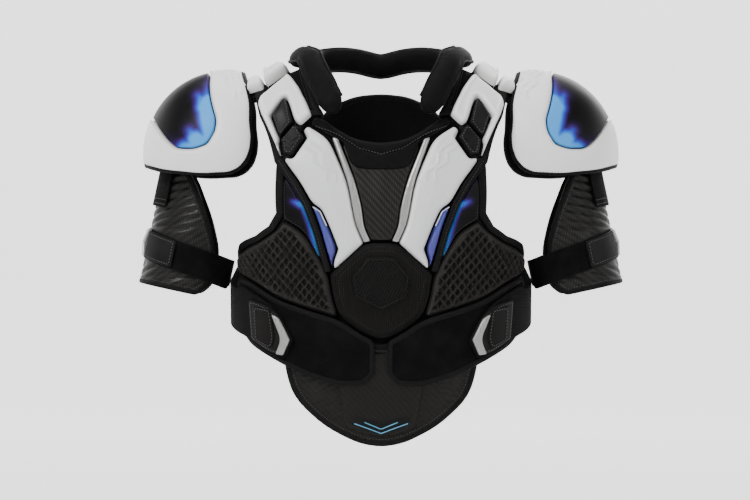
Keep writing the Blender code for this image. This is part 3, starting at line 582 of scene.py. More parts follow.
CHEST_LINER = [(0, -28), (26, -24), (44, -15), (62, -2), (74, 4), (84, 1), (100, -20), (108, -40),
    (105, -62), (105, -104), (115, -121), (132, -133), (151, -142), (160, -152), (160, -200), (148, -236),
    (100, -250), (50, -257), (22, -262), (17, -292), (0, -294)]
ARMHOLE_FRONT = [(104, -47), (105, -62), (105, -104), (115, -121), (132, -133), (151, -142), (160, -152),
    (160, -176)]
CLAVICLE_PLATE = [(103, 55), (76, 6.5), (89, -6), (95.5, -0.5), (106, 29), (122.5, 5), (112, -20),
    (113.5, -27), (110.5, -43), (124, -12), (137.5, 19), (135.5, 27)]
CLAVICLE_HINGE = [(106, 27), (96.5, -3), (111, -19.5), (121, 5)]
HINGE_LINK = [(95.5, -4.5), (90, -8), (84, -19.5), (97.5, -40), (107.5, -38.5), (110.5, -21.5)]
BELLY_OUTLINE = [(0, -247), (24, -239), (50, -223), (80, -214), (98, -232), (106, -262), (96, -302),
    (62, -334), (26, -352), (0, -356.5)]
BELLY_CENTRE = [(0, -256), (24, -248), (46, -240), (47, -262), (46, -296), (38, -334), (20, -342),
    (0, -345)]
BELT_FRONT = [(152, -182), (124, -199), (108, -216), (95, -241), (105, -261), (124, -256), (148, -238)]
BELT_TAB = [(146, -196), (124, -203.5), (110, -216), (97.5, -240.5), (106, -258), (122, -254), (143, -240)]

# Patterns of the back, as seen from behind
BACK_LINER = [(0, 36), (30, 33), (56, 22), (74, 4), (96, -34), (104, -62), (104, -104), (114, -121),
    (132, -134), (150, -146), (154, -200), (146, -246), (92, -264), (0, -268)]
SCAPULA_PLATE = [(21, 14), (50, 12), (71, -4), (93, -40), (99, -66), (92, -104), (62, -122), (32, -124),
    (22, -96), (19, -40)]
LUMBAR_PAD = [(25, -128), (62, -128), (98, -114), (116, -130), (138, -148), (147, -196), (138, -238),
    (88, -256), (20, -258), (20, -180)]
SPINE_GUARD = [(0, 20), (12, 12), (15, -60), (19, -100), (16, -180), (15, -232), (0, -244)]

# Patterns over the shoulder: x in millimetres, angle from the front in degrees
YOKE_BACK = [(80, 122), (90, 146), (100, 164), (107, 172), (116, 166), (127, 148), (135, 124), (136, 90),
    (135, 62)]
YOKE_FRONT = [(135, 10), (124, -14), (114.5, -50), (101, -51), (94, -34), (84, -6), (73, 4), (62, 3)]
YOKE_INNER = [(69, 36), (77, 58), (79, 90)]
SHOULDER_ARCH = [(98, 68), (122, 56), (123.5, 90), (122, 124), (110, 138), (98, 124), (97, 90)]
ARCH_LINK = [(124.5, 54), (141, 57), (143, 90), (141, 123), (124, 127), (125, 90)]

# Cap outlines: shares of the cap's length outboard of the hinge, and of its height below the crown
CAP_RIM = [(0.00, 0.02), (-0.035, 0.20), (-0.115, 0.48), (-0.125, 0.88), (-0.112, 1.03), (-0.065, 1.17),
    (0.03, 1.28), (0.17, 1.345), (0.52, 1.37), (0.98, 1.33), (1.26, 1.26)]
CAP_GRAPHIC = [(0.45, 0.07), (0.44, 0.38), (0.36, 0.64), (0.38, 0.80), (0.48, 0.96), (0.66, 1.02),
    (0.88, 1.01), (1.00, 0.92), (1.20, 0.64)]
CAP_FOAM_RIM = [(0.06, 0.03), (0.02, 0.22), (-0.04, 0.50), (-0.05, 0.86), (0.00, 1.04), (0.16, 1.14),
    (0.52, 1.17), (0.98, 1.13), (1.20, 1.06)]

# Upper arm: degrees round the arm from its outside, millimetres down it
GUARD_FRONT = [(58, 14), (76, 30), (100, 62), (120, 98), (124, 118), (122, 140), (108, 153)]
GUARD = GUARD_FRONT + [(-a, h) for a, h in reversed(GUARD_FRONT)]
ELASTIC_MIDDLE = 122.0
STRAP_ENDS = ((14, 107.0), (150, 124.0))
TAG_SPAN = (24, 73)
HANGER_SPAN = (-8, 46)
HANGER_DROP = (20, 66)
BELT_FALL = (math.radians(77), math.radians(108))
BELT_SIDE = [(69.5, -208.5), (84, -198), (98, -182), (112, -174)]

COLLAR_PLAN = [(47, -95), (56, -85), (66, -66), (73, -42), (77, -12), (74, 22), (59, 50), (33, 67), (0, 73)]
COLLAR_LIFT = 0.0215

# The studio's round bowl: flat floor, then a bend up into the wall
BOWL_FLAT = 11.0
BOWL_BEND = 3.0
CAMERA_ACROSS = -0.0066
COLLAR_WIDE, COLLAR_THICK = 0.0150, 0.0095


# Finishes


class Finish:
    """A node material being put together on the pattern of a panel."""

    def __init__(self, name, roughness, metallic=0.0, **fixed):
        self.material = bpy.data.materials.new(name)
        self.material.use_nodes = True
        self.tree = self.material.node_tree
        self.shader = self.tree.nodes["Principled BSDF"]
        self.shader.inputs["Roughness"].default_value = roughness
        self.shader.inputs["Metallic"].default_value = metallic
        for label, value in fixed.items():
            self.shader.inputs[label.replace("_", " ")].default_value = value

    def node(self, kind, *sources, **settings):
        made = self.tree.nodes.new("ShaderNode" + kind)
        for label, value in settings.items():
            setattr(made, label, value)
        for socket, source in zip(made.inputs, sources):
            if isinstance(source, bpy.types.NodeSocket):
                self.tree.links.new(source, socket)
            elif source is not None:
                socket.default_value = source
        return made

    def math(self, operation, *sources):
        return self.node("Math", *sources, operation=operation).outputs[0]

    def times(self, a, b):
        return self.math("MULTIPLY", a, b)

    def plus(self, a, b):
        return self.math("ADD", a, b)

    def wave(self, value, period=1.0):
        return self.math("SINE", self.times(value, 2 * math.pi / period))

    def rounded(self, value):
        """A round hump over each whole step of the value."""
        across = self.times(self.math("SUBTRACT", self.math("FRACT", value), 0.5), 2.0)
        return self.math("SUBTRACT", 1.0, self.math("POWER", across, 2.0))

    def pattern(self):
        """The piece's own pattern in millimetres, as two sockets."""
        layer = self.node("UVMap", uv_map="pattern").outputs[0]
        parts = self.node("SeparateXYZ", layer).outputs
        return self.math("MULTIPLY", parts[0], 100.0), self.math("MULTIPLY", parts[1], 100.0)

    def place(self):
        return self.node("TexCoord").outputs["Object"]

    def attribute(self, name):
        return self.node("Attribute", attribute_name=name).outputs["Fac"]

    def noise(self, scale, detail=3.0, roughness=0.5, vector=None):
        made = self.node("TexNoise", vector or self.place())
        made.inputs["Scale"].default_value = scale
        made.inputs["Detail"].default_value = detail
        made.inputs["Roughness"].default_value = roughness
        return made.outputs[0]

    def cells(self, scale, feature="F1", vector=None):
        made = self.node("TexVoronoi", vector or self.place(), feature=feature)
        made.inputs["Scale"].default_value = scale
        return made.outputs[0]

    def ramp(self, value, *stops, interpolation="LINEAR"):
        made = self.node("ValToRGB", value)
        made.color_ramp.interpolation = interpolation
        elements = made.color_ramp.elements
        while len(elements) < len(stops):
            elements.new(0.5)
        for element, (position, colour) in zip(elements, stops):
            element.position = position
            element.color = (*colour, 1) if isinstance(colour, tuple) else (colour, colour, colour, 1)
        return made.outputs[0]

    def span(self, value, low, high, to_low=0.0, to_high=1.0):
        made = self.node("MapRange", value, low, high, to_low, to_high)
        return made.outputs[0]

    def mix(self, factor, first, second, blend="MIX"):
        made = self.node("Mix", data_type="RGBA", blend_type=blend)
        for socket, source in ((made.inputs[0], factor), (made.inputs[6], first), (made.inputs[7], second)):
            if isinstance(source, bpy.types.NodeSocket):
                self.tree.links.new(source, socket)
            elif isinstance(source, tuple):
                socket.default_value = (*source, 1)
            else:
                socket.default_value = source
        return made.outputs[2]

    def bump(self, height, strength, distance, under=None):
        made = self.node("Bump")
        made.inputs["Strength"].default_value = strength
        made.inputs["Distance"].default_value = distance
        self.tree.links.new(height, made.inputs["Height"])
        if under is not None:
            self.tree.links.new(under, made.inputs["Normal"])
        return made.outputs[0]

    def done(self, colour=None, roughness=None, normal=None):
        for label, source in (("Base Color", colour), ("Roughness", roughness), ("Normal", normal)):
            if isinstance(source, tuple):
                self.shader.inputs[label].default_value = (*source, 1)
            elif source is not None:
                self.tree.links.new(source, self.shader.inputs[label])
        return self.material


FINISHES = {}
_made = {}


def finish(name):
    """The named finish, made the first time it is asked for."""
    if name not in _made:
        _made[name] = FINISHES[name](name)
    return _made[name]


def takes():
    """Lists a finish under its function's name."""

    def note(maker):
        FINISHES[maker.__name__] = maker
        return maker

    return note


def tint(name):
    return tuple(getattr(bpy.context.scene.pad_colours, name))


@takes()
def white_leather(name):
    """Satin synthetic leather: fine pores, faint mottling, a darker band along its seams of painted shade and
    a little soiling, and grey painted shade where marked.
    """
    f = Finish(name, 0.44, Coat_Weight=0.08, Coat_Roughness=0.35)
    pores = f.cells(1500)
    grain = f.noise(2600, 2.0)
    cloud = f.noise(22, 4.0)
    tone = f.mix(f.span(cloud, 0.35, 0.7), tint("white"), tuple(c * 0.955 for c in tint("white")))
    # painted shade with a little soiling: a dark grey band along the border, where the edge rounds down into
    # the seam
    seam = f.span(f.attribute("edge"), 0.0003, 0.0022, 0.34, 0.0)
    tone = f.mix(seam, tone, (0.36, 0.355, 0.34))
    # painted shade: where marked, the face is painted grey so that its bright bevels stand out
    tone = f.mix(f.attribute("mark"), tone, (0.62, 0.63, 0.63))
    height = f.plus(f.times(pores, 0.7), f.times(grain, 0.5))
    return f.done(tone, f.span(cloud, 0.3, 0.75, 0.38, 0.50), f.bump(height, 0.16, 0.00025))


@takes()
def knit(name, shade=0.0055, pitch=1.15):
    """Close warp knit with rows of small loops."""
    f = Finish(name, 0.9, Specular_IOR_Level=0.05)
    u, v = f.pattern()
    row = f.wave(v, pitch)
    offset = f.times(f.math("ROUND", f.math("DIVIDE", v, pitch)), 0.5 * pitch)
    stitch = f.wave(f.plus(u, offset), pitch)
    loops = f.times(f.plus(row, stitch), 0.25)
    fuzz = f.noise(900, 3.0)
    tone = f.mix(f.span(fuzz, 0.3, 0.75), (shade * 0.7, shade * 0.7, shade * 0.72),
        (shade * 1.6, shade * 1.55, shade * 1.5))
    return f.done(tone, None, f.bump(f.plus(loops, f.times(fuzz, 0.4)), 0.5, 0.0005))


@takes()
def neoprene(name):
    """Smooth knit-faced foam with a slight sheen."""
    f = Finish(name, 0.65, Specular_IOR_Level=0.05)
    fine = f.noise(2200, 2.0)
    broad = f.noise(60, 3.0)
    tone = f.mix(f.span(broad, 0.3, 0.7), (0.0030, 0.0030, 0.0032), (0.0058, 0.0057, 0.0056))
    return f.done(tone, f.span(broad, 0.3, 0.7, 0.55, 0.72), f.bump(fine, 0.25, 0.0003))


@takes()
def binding_tape(name):
    """Black folded tape with fine cross ribs."""
    f = Finish(name, 0.6, Specular_IOR_Level=0.08)
    u, v = f.pattern()
    rib = f.wave(u, 0.9)
    fuzz = f.noise(1400, 2.0)
    tone = f.mix(f.span(fuzz, 0.3, 0.7), (0.0032, 0.0032, 0.0034), (0.0075, 0.0073, 0.0071))
    return f.done(tone, None, f.bump(f.plus(f.times(rib, 0.4), fuzz), 0.35, 0.0003))


@takes()
def spacer_mesh(name):
    """Open spacer fabric: a diagonal knit face with sunken openings painted near black as painted shade."""
    f = Finish(name, 0.6, Specular_IOR_Level=0.18)
    u, v = f.pattern()
    one = f.wave(f.plus(u, v), 1.5)
    two = f.wave(f.math("SUBTRACT", u, v), 1.5)
    cross = f.math("MAXIMUM", one, two)
    fuzz = f.noise(1300, 3.0)
    thread = f.mix(f.span(cross, -0.4, 1.0), (0.0028, 0.0027, 0.0026), (0.030, 0.027, 0.023))
    thread = f.mix(f.span(fuzz, 0.35, 0.7, 0.0, 0.35), thread, (0.007, 0.0066, 0.0063))
    # painted shade: the openings are painted near black
    tone = f.mix(f.attribute("mark"), thread, (0.0010, 0.0010, 0.0011))
    height = f.plus(cross, f.times(fuzz, 0.6))
    return f.done(tone, f.span(cross, -0.5, 1.0, 0.85, 0.5), f.bump(height, 0.45, 0.0005))


@takes()
def carbon_weave(name, tow=1.9, low=(0.0022, 0.0021, 0.0020), high=(0.027, 0.025, 0.0225)):
    """Twill of dark fibre tows under a clear film, the tows' crowns and the tows of one direction painted
    lighter as painted reflection.
    """
    f = Finish(name, 0.45, Specular_IOR_Level=0.14, Coat_Weight=0.06, Coat_Roughness=0.15)
    u, v = f.pattern()
    x = f.math("DIVIDE", u, tow)
    y = f.math("DIVIDE", v, tow)
    step = f.plus(f.math("FLOOR", x), f.math("FLOOR", y))
    over = f.math("LESS_THAN", f.math("FLOORED_MODULO", step, 4.0), 2.0)
    round_x = f.rounded(x)
    round_y = f.rounded(y)
    height = f.plus(f.times(over, round_x), f.times(f.math("SUBTRACT", 1.0, over), round_y))
    # painted reflection: tows are painted lighter on their crowns, and those of one direction more
    along = f.times(over, 0.55)
    tone = f.mix(f.times(height, f.plus(along, 0.35)), low, high)
    return f.done(tone, f.span(over, 0.0, 1.0, 0.34, 0.5), f.bump(height, 0.35, 0.0003))


@takes()
def flame_film(name):
    """Printed film: black, running through violet to sky blue by the piece's own mark."""
    f = Finish(name, 0.4, Specular_IOR_Level=0.10)
    wisp = f.times(f.math("SUBTRACT", f.noise(60, 2.0, 0.5), 0.5), 0.10)
    level = f.plus(f.attribute("mark"), f.times(wisp, f.span(f.attribute("mark"), 0.02, 0.3)))
    tone = f.ramp(level, (0.0, (0.0028, 0.0028, 0.0034)), (0.16, (0.009, 0.004, 0.022)),
        (0.34, (0.032, 0.011, 0.12)), (0.54, (0.022, 0.050, 0.42)), (0.74, (0.030, 0.20, 0.68)),
        (0.90, tint("sky")))
    return f.done(tone, None, f.bump(f.noise(1800, 2.0), 0.10, 0.0002))


@takes()
def violet_film(name):
    """Satin film between blue and violet, with a sparse fleck."""
    f = Finish(name, 0.34, Coat_Weight=0.25, Coat_Roughness=0.25)
    level = f.attribute("mark")
    tone = f.mix(level, tint("violet"), (0.036, 0.055, 0.27))
    tone = f.mix(f.span(f.noise(1600, 2.0), 0.45, 0.8, 0.0, 0.3), tone, (0.10, 0.11, 0.38))
    return f.done(tone, None, f.bump(f.noise(2500, 2.0), 0.12, 0.0002))


@takes()
def silver_film(name):
    """Brushed silver film."""
    f = Finish(name, 0.32, 0.65)
    u, v = f.pattern()
    stroke = f.node("CombineXYZ", f.times(u, 0.35), f.times(v, 0.012), 0.0).outputs[0]
    brush = f.noise(6.0, 4.0, 0.6, stroke)
    tone = f.mix(f.span(brush, 0.3, 0.7), tuple(c * 0.55 for c in tint("silver")), tint("silver"))
    return f.done(tone, f.span(brush, 0.3, 0.7, 0.24, 0.42), f.bump(brush, 0.15, 0.0002))


@takes()
def velour(name):
    """Brushed loop pile that hook tape grips."""
    f = Finish(name, 1.0, Specular_IOR_Level=0.04, Sheen_Weight=0.02, Sheen_Roughness=0.4)
    pile = f.noise(1500, 4.0, 0.7)
    nap = f.noise(45, 3.0)
    tone = f.mix(f.span(pile, 0.35, 0.7), (0.0018, 0.0018, 0.002), (0.0075, 0.0073, 0.0074))
    tone = f.mix(f.span(nap, 0.4, 0.75, 0.0, 0.4), tone, (0.012, 0.012, 0.0125))
    return f.done(tone, None, f.bump(pile, 0.7, 0.0007))


@takes()
def elastic_webbing(name):
    """Woven elastic with lengthwise cords."""
    f = Finish(name, 0.8, Specular_IOR_Level=0.05)
    u, v = f.pattern()
    cords = f.wave(v, 1.6)
    picks = f.wave(u, 0.8)
    weave = f.plus(cords, f.times(picks, 0.5))
    tone = f.mix(f.span(weave, -1.2, 1.2), (0.0030, 0.0030, 0.0032), (0.0092, 0.0090, 0.0088))
    return f.done(tone, None, f.bump(weave, 0.4, 0.0004))


@takes()
def moulded_rubber(name):
    """Matte moulded synthetic rubber, rubbed a little paler in random patches."""
    f = Finish(name, 0.42, Specular_IOR_Level=0.16)
    grain = f.cells(1300)
    rub = f.noise(35, 4.0)
    tone = f.mix(f.span(rub, 0.4, 0.75), (0.0028, 0.0028, 0.0029), (0.0062, 0.0060, 0.0059))
    return f.done(tone, f.span(rub, 0.3, 0.75, 0.42, 0.6), f.bump(grain, 0.2, 0.0002))


@takes()
def ribbed_black(name):
    """Black pressed film with fine moulded ribs."""
    f = Finish(name, 0.45, Specular_IOR_Level=0.09)
    u, v = f.pattern()
    rib = f.wave(f.attribute("mark"))
    dust = f.noise(300, 3.0)
    tone = f.mix(f.span(rib, -0.6, 1.0), (0.0016, 0.0016, 0.0016), (0.0078, 0.0069, 0.0060))
    tone = f.mix(f.span(dust, 0.4, 0.8, 0.0, 0.3), tone, (0.006, 0.0058, 0.0055))
    return f.done(tone, None, f.bump(rib, 0.35, 0.0005))


def speckled(name, roughness, scale, low, high):
    """Lists a plain finish that varies between two colours in fine specks, such as sewing thread."""

    def maker(label):
        f = Finish(label, roughness)
        return f.done(f.mix(f.span(f.noise(scale, 2.0), 0.3, 0.7), low, high))

    FINISHES[name] = maker


speckled("thread", 0.6, 3000, (0.007, 0.007, 0.0072), (0.020, 0.0196, 0.019))
speckled("pale_thread", 0.55, 3000, (0.42, 0.42, 0.41), (0.62, 0.62, 0.60))
speckled("grey_thread", 0.5, 3000, (0.028, 0.028, 0.029), (0.065, 0.064, 0.063))
speckled("sky_print", 0.35, 900, (0.06, 0.26, 0.42), (0.10, 0.36, 0.55))


@takes()
def carbon_dark(name):
    """The arm guards' broader tows."""
    return carbon_weave(name, 2.2, (0.0030, 0.0029, 0.0028), (0.022, 0.021, 0.0195))


@takes()
def carbon_fine(name):
    """The belly pad's darker cloth."""
    return carbon_weave(name, 1.9, (0.0022, 0.0021, 0.0019), (0.0105, 0.0092, 0.0078))


@takes()
def lining(name):
    """Grey-black tricot on the inside, with small pin holes."""
    f = Finish(name, 0.9, Specular_IOR_Level=0.05)
    holes = f.cells(420)
    fuzz = f.noise(1500, 3.0)
    tone = f.mix(f.span(holes, 0.12, 0.24), (0.004, 0.004, 0.004), (0.0065, 0.0065, 0.007))
    tone = f.mix(f.span(fuzz, 0.35, 0.75, 0.0, 0.4), tone, (0.011, 0.011, 0.0115))
    return f.done(tone, None, f.bump(f.plus(holes, f.times(fuzz, 0.3)), 0.4, 0.0005))


@takes()
def studio_floor(name):
    f = Finish(name, 0.8, Specular_IOR_Level=0.2, Emission_Color=(1, 1, 1, 1))
    depth = f.node("SeparateXYZ", f.place()).outputs[1]
    # painted light: the bowl glows, dim in front and brighter towards the back
    f.tree.links.new(f.span(depth, 1.5, 4.5, 0.16, 1.35), f.shader.inputs["Emission Strength"])
    return f.done(f.mix(f.span(f.noise(3, 3.0), 0.3, 0.7), (0.86, 0.86, 0.86), (0.90, 0.90, 0.90)))


SIDES = (("left", 1), ("right", -1))


def put(obj, body, *nodes, padded=None):
    """Fixes a piece to its body and hides the solids that it stands for; padded is not used."""
    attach(obj, body)
    settle(nodes)
    return obj


def settle(nodes=()):
    if nodes:
        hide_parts(*nodes)


def set_mark(obj, values):
    """A second attribute for a finish to read; values has one number for each vertex."""
    attribute = obj.data.attributes.new("mark", "FLOAT", "POINT")
    attribute.data.foreach_set("value", np.asarray(values, np.float32))


def pattern_of(obj):
    """The pattern point of each vertex, in metres."""
    mesh = obj.data
    corner = np.zeros(len(mesh.loops), np.int32)
    mesh.loops.foreach_get("vertex_index", corner)
    uv = np.zeros(len(mesh.loops) * 2, np.float32)
    mesh.uv_layers["pattern"].data.foreach_get("uv", uv)
    out = np.zeros((len(mesh.vertices), 2))
    out[corner] = uv.reshape(-1, 2) / 10
    return out


def edge_of(obj):
    values = np.zeros(len(obj.data.vertices), np.float32)
    obj.data.attributes["edge"].data.foreach_get("value", values)
    return values.astype(float)


def flames(obj, rows, halo=9.0):
    """Marks a printed film by its distance from lines, seen from the front, of a level and half width."""
    co = np.zeros(len(obj.data.vertices) * 3)
    obj.data.vertices.foreach_get("co", co)
    spot = np.abs(co.reshape(-1, 3)[:, [0, 2]] / MM * (1, 0)) + co.reshape(-1, 3)[:, [0, 2]] / MM * (0, 1)
    mark = np.zeros(len(spot))
    for line in rows:
        line = np.array(line, float)
        for a, b in zip(line[:-1], line[1:]):
            along = b[:2] - a[:2]
            t = np.clip(((spot - a[:2]) @ along) / max(along @ along, 1e-9), 0, 1)
            away = np.linalg.norm(spot - a[:2] - t[:, None] * along, axis=1)
            level, width = a[2] + (b[2] - a[2]) * t, a[3] + (b[3] - a[3]) * t
            mark = np.maximum(mark, level * np.clip(1 - (away - width) / halo, 0, 1) ** 1.3)
    set_mark(obj, mark)


def ridges(lines, height, width):
    """Relief of low raised lines on a pattern."""

    def relief(points, edge):
        rise = np.zeros(len(points))
        for line in lines:
            rise = np.maximum(rise, np.exp(-((distance_to(points, line, closed=False) / width) ** 2)))
        return rise * height * np.clip(edge / 0.004, 0, 1)

    return relief


def added(*reliefs):
    return lambda points, edge: sum(relief(points, edge) for relief in reliefs)


def facet(width, rise):
    """Relief of a flat raised field with a sloping margin."""
    return lambda points, edge: rise * np.clip(edge / width, 0, 1)


def openings(points):
    """One inside the staggered lozenge openings of the mesh and zero on its threads."""
    sizes = bpy.context.scene.pad_sizes
    across, down = sizes.mesh_across, sizes.mesh_down
    best = np.full(len(points), 9.0)
    for shift in (0.0, 0.5):
        x = (points[:, 0] / across + shift) % 1.0 - 0.5
        y = (points[:, 1] / down + shift) % 1.0 - 0.5
        best = np.minimum(best, np.abs(x) / 0.34 + np.abs(y) / 0.43)
    return 1 - eased((best - 0.72) / 0.42)


# Geometry node trees


def tree_named(name, sockets):
    """A node tree with a geometry input, named inputs and a geometry output."""
    tree = bpy.data.node_groups.new(name, "GeometryNodeTree")
    tree.interface.new_socket("Geometry", in_out="INPUT", socket_type="NodeSocketGeometry")
    for label, kind, value in sockets:
        socket = tree.interface.new_socket(label, in_out="INPUT", socket_type="NodeSocket" + kind)
        if value is not None:
            socket.default_value = value
    tree.interface.new_socket("Geometry", in_out="OUTPUT", socket_type="NodeSocketGeometry")
    return tree, tree.nodes.new("NodeGroupInput"), tree.nodes.new("NodeGroupOutput")


def finish_tree(tree, entry, leave, geometry):
    realize = tree.nodes.new("GeometryNodeRealizeInstances")
    shade = tree.nodes.new("GeometryNodeSetShadeSmooth")
    paint = tree.nodes.new("GeometryNodeSetMaterial")
    tree.links.new(geometry, realize.inputs[0])
    tree.links.new(realize.outputs[0], shade.inputs[0])
    tree.links.new(shade.outputs[0], paint.inputs[0])
    tree.links.new(entry.outputs["Material"], paint.inputs["Material"])
    tree.links.new(paint.outputs[0], leave.inputs[0])
    return tree


def stitch_tree():
    """Lines become rows of separate stitches lying along them."""
    tree, entry, leave = tree_named("sewn_seam", (("Pitch", "Float", 0.0034), ("Length", "Float", 0.0024),
        ("Thickness", "Float", 0.0005), ("Material", "Material", None)))
    new, link = tree.nodes.new, tree.links.new
    curve = new("GeometryNodeMeshToCurve")
    even = new("GeometryNodeResampleCurve")
    even.mode = "LENGTH"
    ball = new("GeometryNodeMeshUVSphere")
    ball.inputs["Segments"].default_value = 6
    ball.inputs["Rings"].default_value = 4
    ball.inputs["Radius"].default_value = 1.0
    size = new("ShaderNodeCombineXYZ")
    half = new("ShaderNodeMath")
    half.operation = "MULTIPLY"
    half.inputs[1].default_value = 0.5
    shape = new("GeometryNodeTransform")
    tangent = new("GeometryNodeInputTangent")
    turn = new("FunctionNodeAlignRotationToVector")
    turn.axis = "Z"
    spread = new("GeometryNodeInstanceOnPoints")
    link(entry.outputs["Geometry"], curve.inputs[0])
    link(curve.outputs[0], even.inputs["Curve"])
    link(entry.outputs["Pitch"], even.inputs["Length"])
    link(entry.outputs["Length"], half.inputs[0])
    link(entry.outputs["Thickness"], size.inputs[0])
    link(entry.outputs["Thickness"], size.inputs[1])
    link(half.outputs[0], size.inputs[2])
    link(ball.outputs["Mesh"], shape.inputs["Geometry"])
    link(size.outputs[0], shape.inputs["Scale"])
    link(tangent.outputs[0], turn.inputs["Vector"])
    link(even.outputs[0], spread.inputs["Points"])
    link(shape.outputs[0], spread.inputs["Instance"])
    link(turn.outputs[0], spread.inputs["Rotation"])
    return finish_tree(tree, entry, leave, spread.outputs[0])


def rib_tree():
    """Lines become low round ribs."""
    tree, entry, leave = tree_named("moulded_rib", (("Radius", "Float", 0.0006),
        ("Spacing", "Float", 0.002), ("Material", "Material", None)))
    new, link = tree.nodes.new, tree.links.new
    curve = new("GeometryNodeMeshToCurve")
    even = new("GeometryNodeResampleCurve")
    even.mode = "LENGTH"
    ring = new("GeometryNodeCurvePrimitiveCircle")
    ring.inputs["Resolution"].default_value = 6
    sweep = new("GeometryNodeCurveToMesh")
    sweep.inputs["Fill Caps"].default_value = True
    link(entry.outputs["Geometry"], curve.inputs[0])
    link(curve.outputs[0], even.inputs["Curve"])
    link(entry.outputs["Spacing"], even.inputs["Length"])
    link(entry.outputs["Radius"], ring.inputs["Radius"])
    link(even.outputs[0], sweep.inputs["Curve"])
    link(ring.outputs[0], sweep.inputs["Profile Curve"])
    return finish_tree(tree, entry, leave, sweep.outputs[0])


TREES = {"stitch": stitch_tree, "rib": rib_tree}
_trees = {}


def grown(name, body, kind, lines, paint, **inputs):
    """One mesh grown along the lines by a node tree, fixed to its body."""
    if kind not in _trees:
        _trees[kind] = TREES[kind]()
    tree = _trees[kind]
    verts, edges = [], []
    for line in lines:
        first = len(verts)
        verts += [tuple(p) for p in line]
        edges += [(first + k, first + k + 1) for k in range(len(line) - 1)]
    guide_mesh = bpy.data.meshes.new(name + "_guide")
    guide_mesh.from_pydata(verts, edges, [])
    guide = bpy.data.objects.new(name + "_guide", guide_mesh)
    bpy.context.scene.collection.objects.link(guide)
    modifier = guide.modifiers.new("growth", "NODES")
    modifier.node_group = tree
    inputs["Material"] = finish(paint)
    for item in tree.interface.items_tree:
        if item.item_type == "SOCKET" and item.in_out == "INPUT" and item.name in inputs:
            modifier[item.identifier] = inputs[item.name]
    bpy.context.view_layer.update()
    found = bpy.context.evaluated_depsgraph_get()
    mesh = bpy.data.meshes.new_from_object(guide.evaluated_get(found), depsgraph=found)
    bpy.data.objects.remove(guide)
    mesh.name = name
    obj = bpy.data.objects.new(name, mesh)
    bpy.context.scene.collection.objects.link(obj)
    mesh.materials.clear()
    mesh.materials.append(finish(paint))
    if not len(mesh.polygons):
        raise RuntimeError(f"{name} came out empty")
    if body is not None:
        put(obj, body)
    return obj


def sewn(name, body, lines, paint="thread"):
    sizes = bpy.context.scene.pad_sizes
    return grown(name, body, "stitch", lines, paint, Pitch=sizes.stitch_pitch, Length=sizes.stitch_length,
        Thickness=sizes.thread_thickness)


def seam(loop, sheet, high, inset, side=1, corner=0.004, gap=0.0004, soft=40, closed=True, lift=0.0002):
    """A sewing line that follows a border at an inset, as points on the finished face."""
    if closed:
        path = resampled(fillet(drawn_in(loop, gap + inset), corner, soft), 0.0016)
        path = np.concatenate([path, path[:1]])
    else:
        path = resampled(np.asarray(loop, float), 0.0016, closed=False)
    spot, normal = sheet(path)
    height = high(path) if callable(high) else high
    points = spot + normal * np.reshape(np.asarray(height) + lift, (-1, 1))
    return points * (side, 1, 1)


def laid(line, sheet, high, side=1):
    """Points of an open line laid on a sheet at a height."""
    return seam(line, sheet, high, 0, side, closed=False, lift=0.0)


def clipped(line, loop, margin):
    """Stretches of a straight line on a pattern that lie inside a loop, a margin from its edge."""
    dense = resampled(np.asarray(line, float), 0.0008, closed=False)
    keep = inside(dense, loop) & (distance_to(dense, loop) > margin)
    rows, run = [], []
    for point, held in zip(dense, keep):
        if held:
            run.append(point)
        elif run:
            rows.append(run)
            run = []
    rows.append(run)
    return [np.array(r[::2] + r[-1:]) for r in rows if len(r) > 5]


def slab(name, grid, thickness, paint, side=1):
    """A thin closed cloth through a grid of points."""
    grid = np.asarray(grid, float)
    rows, columns = grid.shape[:2]
    across = np.gradient(grid, axis=1)
    down = np.gradient(grid, axis=0)
    normal = np.cross(across, down)
    normal /= np.maximum(np.linalg.norm(normal, axis=2, keepdims=True), 1e-9)
    layers = np.concatenate([(grid + normal * thickness / 2).reshape(-1, 3),
        (grid - normal * thickness / 2).reshape(-1, 3)])
    count = rows * columns
    faces = []
    for i in range(rows - 1):
        for j in range(columns - 1):
            a, b = i * columns + j, i * columns + j + 1
            c, d = b + columns, a + columns
            faces += [(a, b, c, d), (d + count, c + count, b + count, a + count)]
    rim = [j for j in range(columns)] + [(i + 1) * columns - 1 for i in range(1, rows)]
    rim += [(rows - 1) * columns + j
        for j in range(columns - 2, -1, -1)] + [i * columns for i in range(rows - 2, 0, -1)]
    for a, b in zip(rim, rim[1:] + rim[:1]):
        faces.append((b, a, a + count, b + count))
    layers[:, 0] *= side
    step = np.stack(np.meshgrid(np.arange(columns) * 0.002, np.arange(rows) * 0.002), axis=2).reshape(-1, 2)
    return new_object(name, layers, faces, paint, np.concatenate([step, step]), smooth=70)


# Operators


class PadOperator(bpy.types.Operator):
    """Common ground of the operators: one step of the build."""

    bl_options = {"REGISTER"}

    def execute(self, context):
        self.make(context.scene.pad_sizes)
        return {"FINISHED"}


